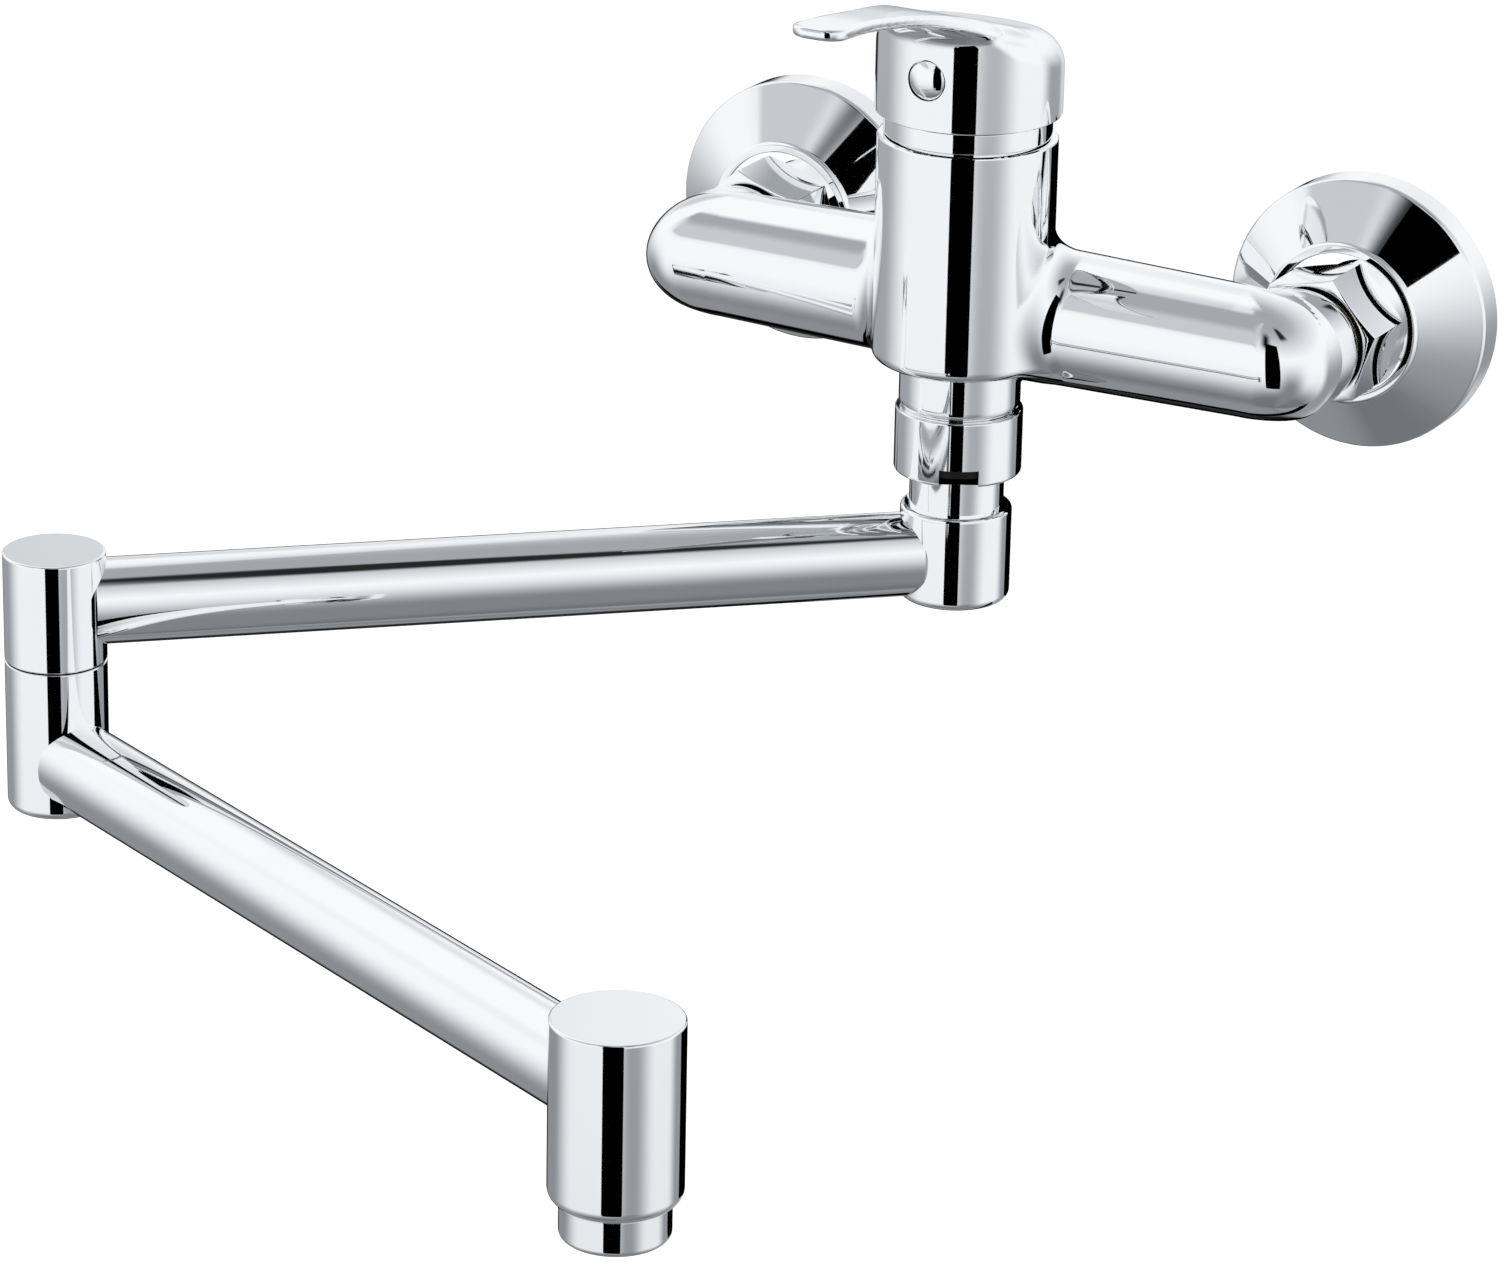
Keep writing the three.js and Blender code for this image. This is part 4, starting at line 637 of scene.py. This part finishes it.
class Finish:
    """A material on the Principled shader, built from nodes."""

    def __init__(self, name, **constants):
        self.material = bpy.data.materials.new(name)
        self.material.use_nodes = True
        self.tree = self.material.node_tree
        self.shader = self.tree.nodes["Principled BSDF"]
        for key, value in constants.items():
            self.shader.inputs[key.replace("_", " ")].default_value = value

    def node(self, kind, settings=None, inputs=None, output=0):
        made = self.tree.nodes.new("ShaderNode" + kind)
        for key, value in (settings or {}).items():
            if key == "stops":
                ramp = made.color_ramp
                for element, (position, colour) in zip(ramp.elements, value):
                    element.position, element.color = position, colour
                for position, colour in value[2:]:
                    ramp.elements.new(position).color = colour
            else:
                setattr(made, key, value)
        for key, value in (inputs or {}).items():
            if isinstance(value, Value):
                self.tree.links.new(value.socket, made.inputs[key])
            else:
                made.inputs[key].default_value = value
        return Value(self.tree, made.outputs[output])

    def place(self):
        return self.node("TexCoord", output=3)

    def noise(self, scale, detail=3.0, roughness=0.5, stretch=(1, 1, 1)):
        where = self.node("Mapping", {}, {"Vector": self.place(), "Scale": stretch})
        inputs = {"Vector": where, "Scale": scale, "Detail": detail, "Roughness": roughness}
        return self.node("TexNoise", {}, inputs)

    def colour(self, factor, a, b):
        made = self.tree.nodes.new("ShaderNodeMix")
        made.data_type = "RGBA"
        self.tree.links.new(factor.socket, made.inputs[0])
        made.inputs[6].default_value, made.inputs[7].default_value = (*a, 1), (*b, 1)
        return Value(self.tree, made.outputs[2])

    def feed(self, **links):
        for key, value in links.items():
            self.tree.links.new(value.socket, self.shader.inputs[key.replace("_", " ")])
        return self.material

    def bump(self, height, distance, strength=1.0):
        return self.node("Bump", {}, {"Height": height, "Distance": distance, "Strength": strength})


def make_polished():
    """Bright chrome plate: almost a mirror, with faint wipe marks and the unevenness of the brass below."""
    finish = Finish("polished_chrome", Metallic=1.0)
    haze = finish.noise(38.0, 4.0, 0.6)
    wipe = finish.noise(160.0, 2.0, 0.5, (1, 1, 0.15))
    uneven = finish.noise(55.0, 1.0, 0.4)
    tint = finish.colour(haze, (0.925, 0.933, 0.945), (0.965, 0.97, 0.976))
    return finish.feed(
        Base_Color=tint, Roughness=0.018 + 0.03 * haze ** 2 + 0.012 * wipe,
        Normal=finish.bump(uneven, 0.00002, 0.35),
    )


def make_metal(name, low, high, roughness, grain):
    """A turned metal part: fine rings and a little colour change."""
    finish = Finish(name, Metallic=1.0)
    rings = finish.noise(grain, 3.0, 0.6, (0.2, 0.2, 6))
    return finish.feed(
        Base_Color=finish.colour(rings, low, high), Roughness=roughness + 0.15 * rings,
        Normal=finish.bump(rings, 0.00003, 0.4),
    )


def make_plain(name, low, high, roughness, grain, depth, **constants):
    """Moulded plastic, rubber or ceramic: fine grain and a slight change of tone."""
    finish = Finish(name, **constants)
    speckle = finish.noise(grain, 5.0, 0.65)
    return finish.feed(
        Base_Color=finish.colour(speckle, low, high), Roughness=roughness + 0.12 * speckle,
        Normal=finish.bump(speckle, depth, 0.5),
    )


polished = make_polished()
brass = make_metal("turned_brass", (0.56, 0.43, 0.2), (0.72, 0.58, 0.3), 0.22, 400)
steel = make_metal("spring_steel", (0.5, 0.5, 0.52), (0.66, 0.67, 0.68), 0.2, 500)
rubber = make_plain("black_rubber", (0.012, 0.012, 0.013), (0.03, 0.03, 0.03), 0.6, 900, 0.00003)
white_plastic = make_plain("white_polymer", (0.78, 0.78, 0.76), (0.86, 0.86, 0.84), 0.38, 700, 0.00002)
black_plastic = make_plain("black_polymer", (0.008, 0.008, 0.009), (0.014, 0.014, 0.015), 0.42, 800, 0.00001,
                           Specular_IOR_Level=0.2)
ceramic = make_plain("white_ceramic", (0.8, 0.78, 0.74), (0.88, 0.86, 0.82), 0.12, 1500, 0.000005)

SLOT_FINISH = {
    "polished_chrome": polished, "turned_brass": brass, "spring_steel": steel, "black_rubber": rubber,
    "white_polymer": white_plastic, "black_polymer": black_plastic, "white_ceramic": ceramic,
}


def dress(piece, body, node):
    """A polished piece that rides on a body and stands in for one node of the frame."""
    piece.data.materials.clear()
    piece.data.materials.append(polished)
    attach(piece, body)
    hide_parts(node)


def dress_frame():
    """Every node that stays gets the finish of its slot."""
    slots = {entry["node"]: entry["material_slot"] for entry in frame["record"]["subparts"]}
    for name, node in frame["nodes"].items():
        node.data.materials.clear()
        node.data.materials.append(SLOT_FINISH[slots[name]])


# ---------------------------------------------------------------- the object

dress_frame()

body = make_valve_body()
dress(body, "wall_body", "valve_body")

handle = make_handle()
dress(handle, "handle", "lever_handle")

button = turned("index_button_polished", (
    (0, 19.2), (4.5, 19.2), (4.5, 21.2), (4.3, 21.36), (4, 21.57), (3.5, 21.85), (3, 22.09), (2.5, 22.29),
    (2, 22.45), (1.5, 22.57), (1, 22.65), (0.5, 22.7), (0, 22.72)), SMALL_AROUND)
settle(button, FRONT, (0, VALVE_Y, BUTTON_HEIGHT))
smooth(button)
dress(button, "handle", "index_button")

trim = turned("trim_ring_polished", (
    (17.1, 43.2), (18.3, 43.2), (18.3, 46.45), (19.6, 46.45, 0.3), (19.6, 51.4, 0.5), (15.5, 51.4),
    (15.5, 49.5), (17.1, 48)), loop=True)
settle(trim, place=(0, VALVE_Y, 0))
smooth(trim)
dress(trim, "wall_body", "trim_ring")

for side, word in ((-1, "left"), (1, "right")):
    make_inlet(side, word)

collar = make_swivel_nut()
settle(collar, place=(0, VALVE_Y, 0))
smooth(collar)
dress(collar, "wall_body", "swivel_nut")

PLACES = {
    "spout_stem": ((0, VALVE_Y, 0), "inner_arm"), "pivot_body": ((0, VALVE_Y, 0), "inner_arm"),
    "elbow_upper": (ELBOW, "inner_arm"), "elbow_lower": (ELBOW, "outer_arm"),
    "head_body": (HEAD, "outer_arm"), "aerator_housing": (HEAD, "outer_arm"),
}
for node, piece in make_spout().items():
    place, owner = PLACES[node]
    settle(piece, place=place)
    smooth(piece)
    dress(piece, owner, node)

pivot = Vector((0, VALVE_Y, 0))
inner = make_tube("inner_tube_polished", pivot, ELBOW, -56.6, 9.5, 8.6)
outer = make_tube("outer_tube_polished", ELBOW, HEAD, -93.55, 8, 10.5)
for tube, owner, node in ((inner, "inner_arm", "inner_tube"), (outer, "outer_arm", "outer_tube")):
    smooth(tube)
    dress(tube, owner, node)

# ---------------------------------------------------------------- studio

YAW, PITCH, ROLL = math.radians(29.175), math.radians(20.831), math.radians(1.153)
EYE = Vector((654.465, -1334.862, 465.538)) * MM
SENSOR = 36
FOCAL = 6429.367 / 1500 * SENSOR
FLOOR_Z, FLOOR_SIZE, FLOOR_GLOW = -0.6, 60, 0.42
AMBIENT = 0.62  # strength of the world's light on the object; the background itself shows as 1
TENT_R = 9
TO_CAMERA = math.degrees(math.atan2(EYE.y - VALVE_Y * MM, EYE.x))


def make_camera():
    ahead = Vector((-math.sin(YAW) * math.cos(PITCH), math.cos(YAW) * math.cos(PITCH), -math.sin(PITCH)))
    right = ahead.cross(Vector((0, 0, 1))).normalized()
    up = right.cross(ahead)
    turned_right = math.cos(ROLL) * right + math.sin(ROLL) * up
    turned_up = -math.sin(ROLL) * right + math.cos(ROLL) * up
    data = bpy.data.cameras.new("photo_view")
    data.sensor_width, data.sensor_fit, data.lens = SENSOR, "HORIZONTAL", FOCAL
    data.clip_start, data.clip_end = 0.05, 50
    camera = bpy.data.objects.new("photo_view", data)
    camera.matrix_world = Matrix.Translation(EYE) @ Matrix(
        (turned_right, turned_up, -ahead)).transposed().to_4x4()
    bpy.context.scene.collection.objects.link(camera)
    bpy.context.scene.camera = camera


def light_path_share(tree):
    """1 for rays that show the background: from the camera, off metal and through glass."""
    path = tree.nodes.new("ShaderNodeLightPath")
    shown = Value(tree, path.outputs["Is Camera Ray"]) + Value(tree, path.outputs["Is Glossy Ray"])
    shown = shown + Value(tree, path.outputs["Is Transmission Ray"])
    return shown._math("MINIMUM", shown, 1.0)


def make_floor():
    deselect()
    bpy.ops.mesh.primitive_plane_add(size=FLOOR_SIZE, location=(0, 0, FLOOR_Z))
    floor = bpy.context.object
    floor.name = "studio_floor"
    finish = Finish("studio_floor", Base_Color=(0.9, 0.9, 0.9, 1), Roughness=0.9)
    finish.shader.inputs["Emission Color"].default_value = (1, 1, 1, 1)
    finish.feed(Emission_Strength=light_path_share(finish.tree) * FLOOR_GLOW)
    floor.data.materials.append(finish.material)
    floor.visible_glossy = False


def shade(value):
    """Strength that shows as this shade, from 0 for black to 1 for white."""
    return ((value + 0.055) / 1.055) ** 2.4 if value > 0.04 else value / 12.92


# Heights in degrees and shades of the tent's painted glow, from its dark foot to its top: painted light and
# shade that only the polish mirrors.
TENT_PAINTED_SHADES = (
    (-90, 0.46), (-62, 0.48), (-52, 0.61), (-42, 0.77), (-32, 0.90), (-22, 0.96), (-5, 0.99), (22, 0.99),
    (40, 0.90), (50, 0.83), (62, 0.72), (75, 0.67), (90, 0.67),
)

# Bright and dark patches painted into the tent's glow, painted reflections of light and shade rather than hung
# panels, in degrees: name, ends round the tent counted from the camera's side, how soft those edges are, ends
# in height, how soft those are, and shade.
TENT_PAINTED_PATCHES = (
    ("rear_left", (-200, -97), 24, (-95, -8), 20, 0.57),
    ("front_right", (8, 50), 18, (-95, -9), 33, 0.53),
    ("front_left", (-96, -44), 6, (29, 80), 2, 0.81),
    ("front_left_top", (-112, -58), 10, (50, 85), 6, 0.68),
    ("rear_right", (108, 150), 12, (-95, -4), 18, 0.60),
    ("back_light", (-178, -112), 9, (14, 68), 8, 1.0),
    ("back_shade", (-174, -152), 7, (8, 30), 7, 0.84),
    ("rear_floor_painted_dark", (-195, -166), 6, (-60, -43), 4, 0.10),
    ("rear_edge", (-178, -153), 4, (-55, 0), 6, 0.15),
    ("overhead_painted_dark_band", (24, 47), 5, (57, 77), 4, 0.16),
    ("painted_flag_shadow", (-31, -12), 9, (37, 62), 7, 0.05),
)


def mirrored_only(piece):
    """Only mirror rays meet it, so it neither shows nor shades anything."""
    piece.visible_camera = piece.visible_diffuse = piece.visible_transmission = piece.visible_shadow = False


def make_painted_reflection_tent():
    """A tent round the object that glows with painted light and shade, seen only in the polish as painted
    reflections. Lamps light the rest.
    """
    deselect()
    bpy.ops.mesh.primitive_uv_sphere_add(segments=64, ring_count=32, radius=TENT_R)
    tent = bpy.context.object
    tent.name = "painted_reflection_tent"
    smooth(tent, 60)
    finish = Finish("painted_reflection_tent", Base_Color=(0, 0, 0, 1), Roughness=1.0, Specular_IOR_Level=0.0)
    where = finish.node("VectorMath", {"operation": "NORMALIZE"}, {0: finish.place()})
    parts = finish.tree.nodes.new("ShaderNodeSeparateXYZ")
    finish.tree.links.new(where.socket, parts.inputs[0])
    x, y, z = (Value(finish.tree, socket) for socket in parts.outputs)
    around = x._math("ARCTAN2", y, x) * (180 / math.pi) - TO_CAMERA
    around = around._math("WRAP", around + 180, 360.0, 0.0) - 180
    height = z._math("ARCSINE", z) * (180 / math.pi)

    def rise(value, start, end):
        settings = {"interpolation_type": "SMOOTHSTEP"}
        return finish.node("MapRange", settings, {0: value, 1: float(start), 2: float(end)})

    def between(value, ends, soft):
        low, high = ends
        return rise(value, low - soft, low + soft) * (1 - rise(value, high - soft, high + soft))

    stops = [((angle + 90) / 180, (*[shade(tone)] * 3, 1)) for angle, tone in TENT_PAINTED_SHADES]
    glow = finish.node("ValToRGB", {"stops": stops}, {0: (height + 90) * (1 / 180)})
    for _, azimuths, soft, heights, soft_height, tone in TENT_PAINTED_PATCHES:
        share = between(around, azimuths, soft) * between(height, heights, soft_height)
        if azimuths[0] < -180:
            past_half = between(around, (azimuths[0] + 360, 400), soft)
            share = share + past_half * between(height, heights, soft_height)
        # Each patch paints its shade into the glow as a brighter or darker painted reflection.
        glow = glow + (shade(tone) - glow) * share
    # The darker parts of the painted glow are tinted a cooler blue in the reflections.
    cool = finish.colour(glow, (0.90, 0.965, 1.03), (0.985, 0.995, 1.005))
    finish.feed(Emission_Color=cool, Emission_Strength=glow)
    finish.material.cycles.emission_sampling = "NONE"
    tent.data.materials.append(finish.material)
    mirrored_only(tent)


# Black sheets near the object that only mirror rays meet, painting dark reflections into the polish: name,
# left and right edge (x, y) and heights, all in metres.
DARK_REFLECTION_SHEETS = (
    ("front_dark_reflection_sheet", (0.191, -1.545), (0.896, -1.268), (-1.27, 1.54)),
    ("wall_dark_reflection_upper", (-0.06, 0.04), (0.057, 0.04), (-0.118, 0.022)),
    ("wall_dark_reflection_left", (-0.29, 0.04), (-0.085, 0.04), (-0.225, -0.125)),
    ("wall_dark_reflection_right", (-0.08, 0.04), (0.18, 0.04), (-0.30, -0.195)),
)


def make_dark_reflection_sheet(name, left, right, heights):
    """A black sheet, seen only in mirrors, that paints a dark reflection band into the polish.
    A cloth that the polish mirrors as a dark band of the photograph.
    """
    left, right = Vector((*left, 0)), Vector((*right, 0))
    low, high = heights
    deselect()
    bpy.ops.mesh.primitive_plane_add(size=1)
    flag = bpy.context.object
    flag.name = name
    across, upwards = (right - left).normalized(), Vector((0, 0, 1))
    facing = Matrix((across, upwards, across.cross(upwards))).transposed().to_4x4()
    flag.matrix_world = (
        Matrix.Translation((left + right) / 2 + upwards * (low + high) / 2) @ facing
        @ Matrix.Diagonal(((right - left).length, high - low, 1, 1))
    )
    bpy.ops.object.transform_apply(location=True, rotation=True, scale=True)
    finish = Finish(name, Base_Color=(0, 0, 0, 1), Roughness=1.0, Specular_IOR_Level=0.0)
    flag.data.materials.append(finish.material)
    mirrored_only(flag)


def make_world():
    world = bpy.data.worlds.new("studio")
    bpy.context.scene.world = world
    world.use_nodes = True
    background = world.node_tree.nodes["Background"]
    background.inputs["Color"].default_value = (1, 1, 1, 1)
    strength = AMBIENT + (1 - AMBIENT) * light_path_share(world.node_tree)
    world.node_tree.links.new(strength.socket, background.inputs["Strength"])


def make_lamp(name, place, size, power, target=(0, -0.12, -0.03)):
    data = bpy.data.lights.new(name, "AREA")
    data.shape, data.size, data.size_y, data.energy = "RECTANGLE", size[0], size[1], power
    lamp = bpy.data.objects.new(name, data)
    lamp.location = place
    lamp.rotation_euler = (Vector(target) - Vector(place)).to_track_quat("-Z", "Y").to_euler()
    lamp.visible_glossy = False
    bpy.context.scene.collection.objects.link(lamp)


make_camera()
make_floor()
make_world()
make_painted_reflection_tent()
for row in DARK_REFLECTION_SHEETS:
    make_dark_reflection_sheet(*row)
make_lamp("left_softbox", (-1.4, -1.0, 0.9), (0.9, 1.4), 14)
make_lamp("top_softbox", (0.5, -0.4, 1.6), (1.2, 1.2), 12)

scene = bpy.context.scene
scene.view_settings.view_transform = "Standard"
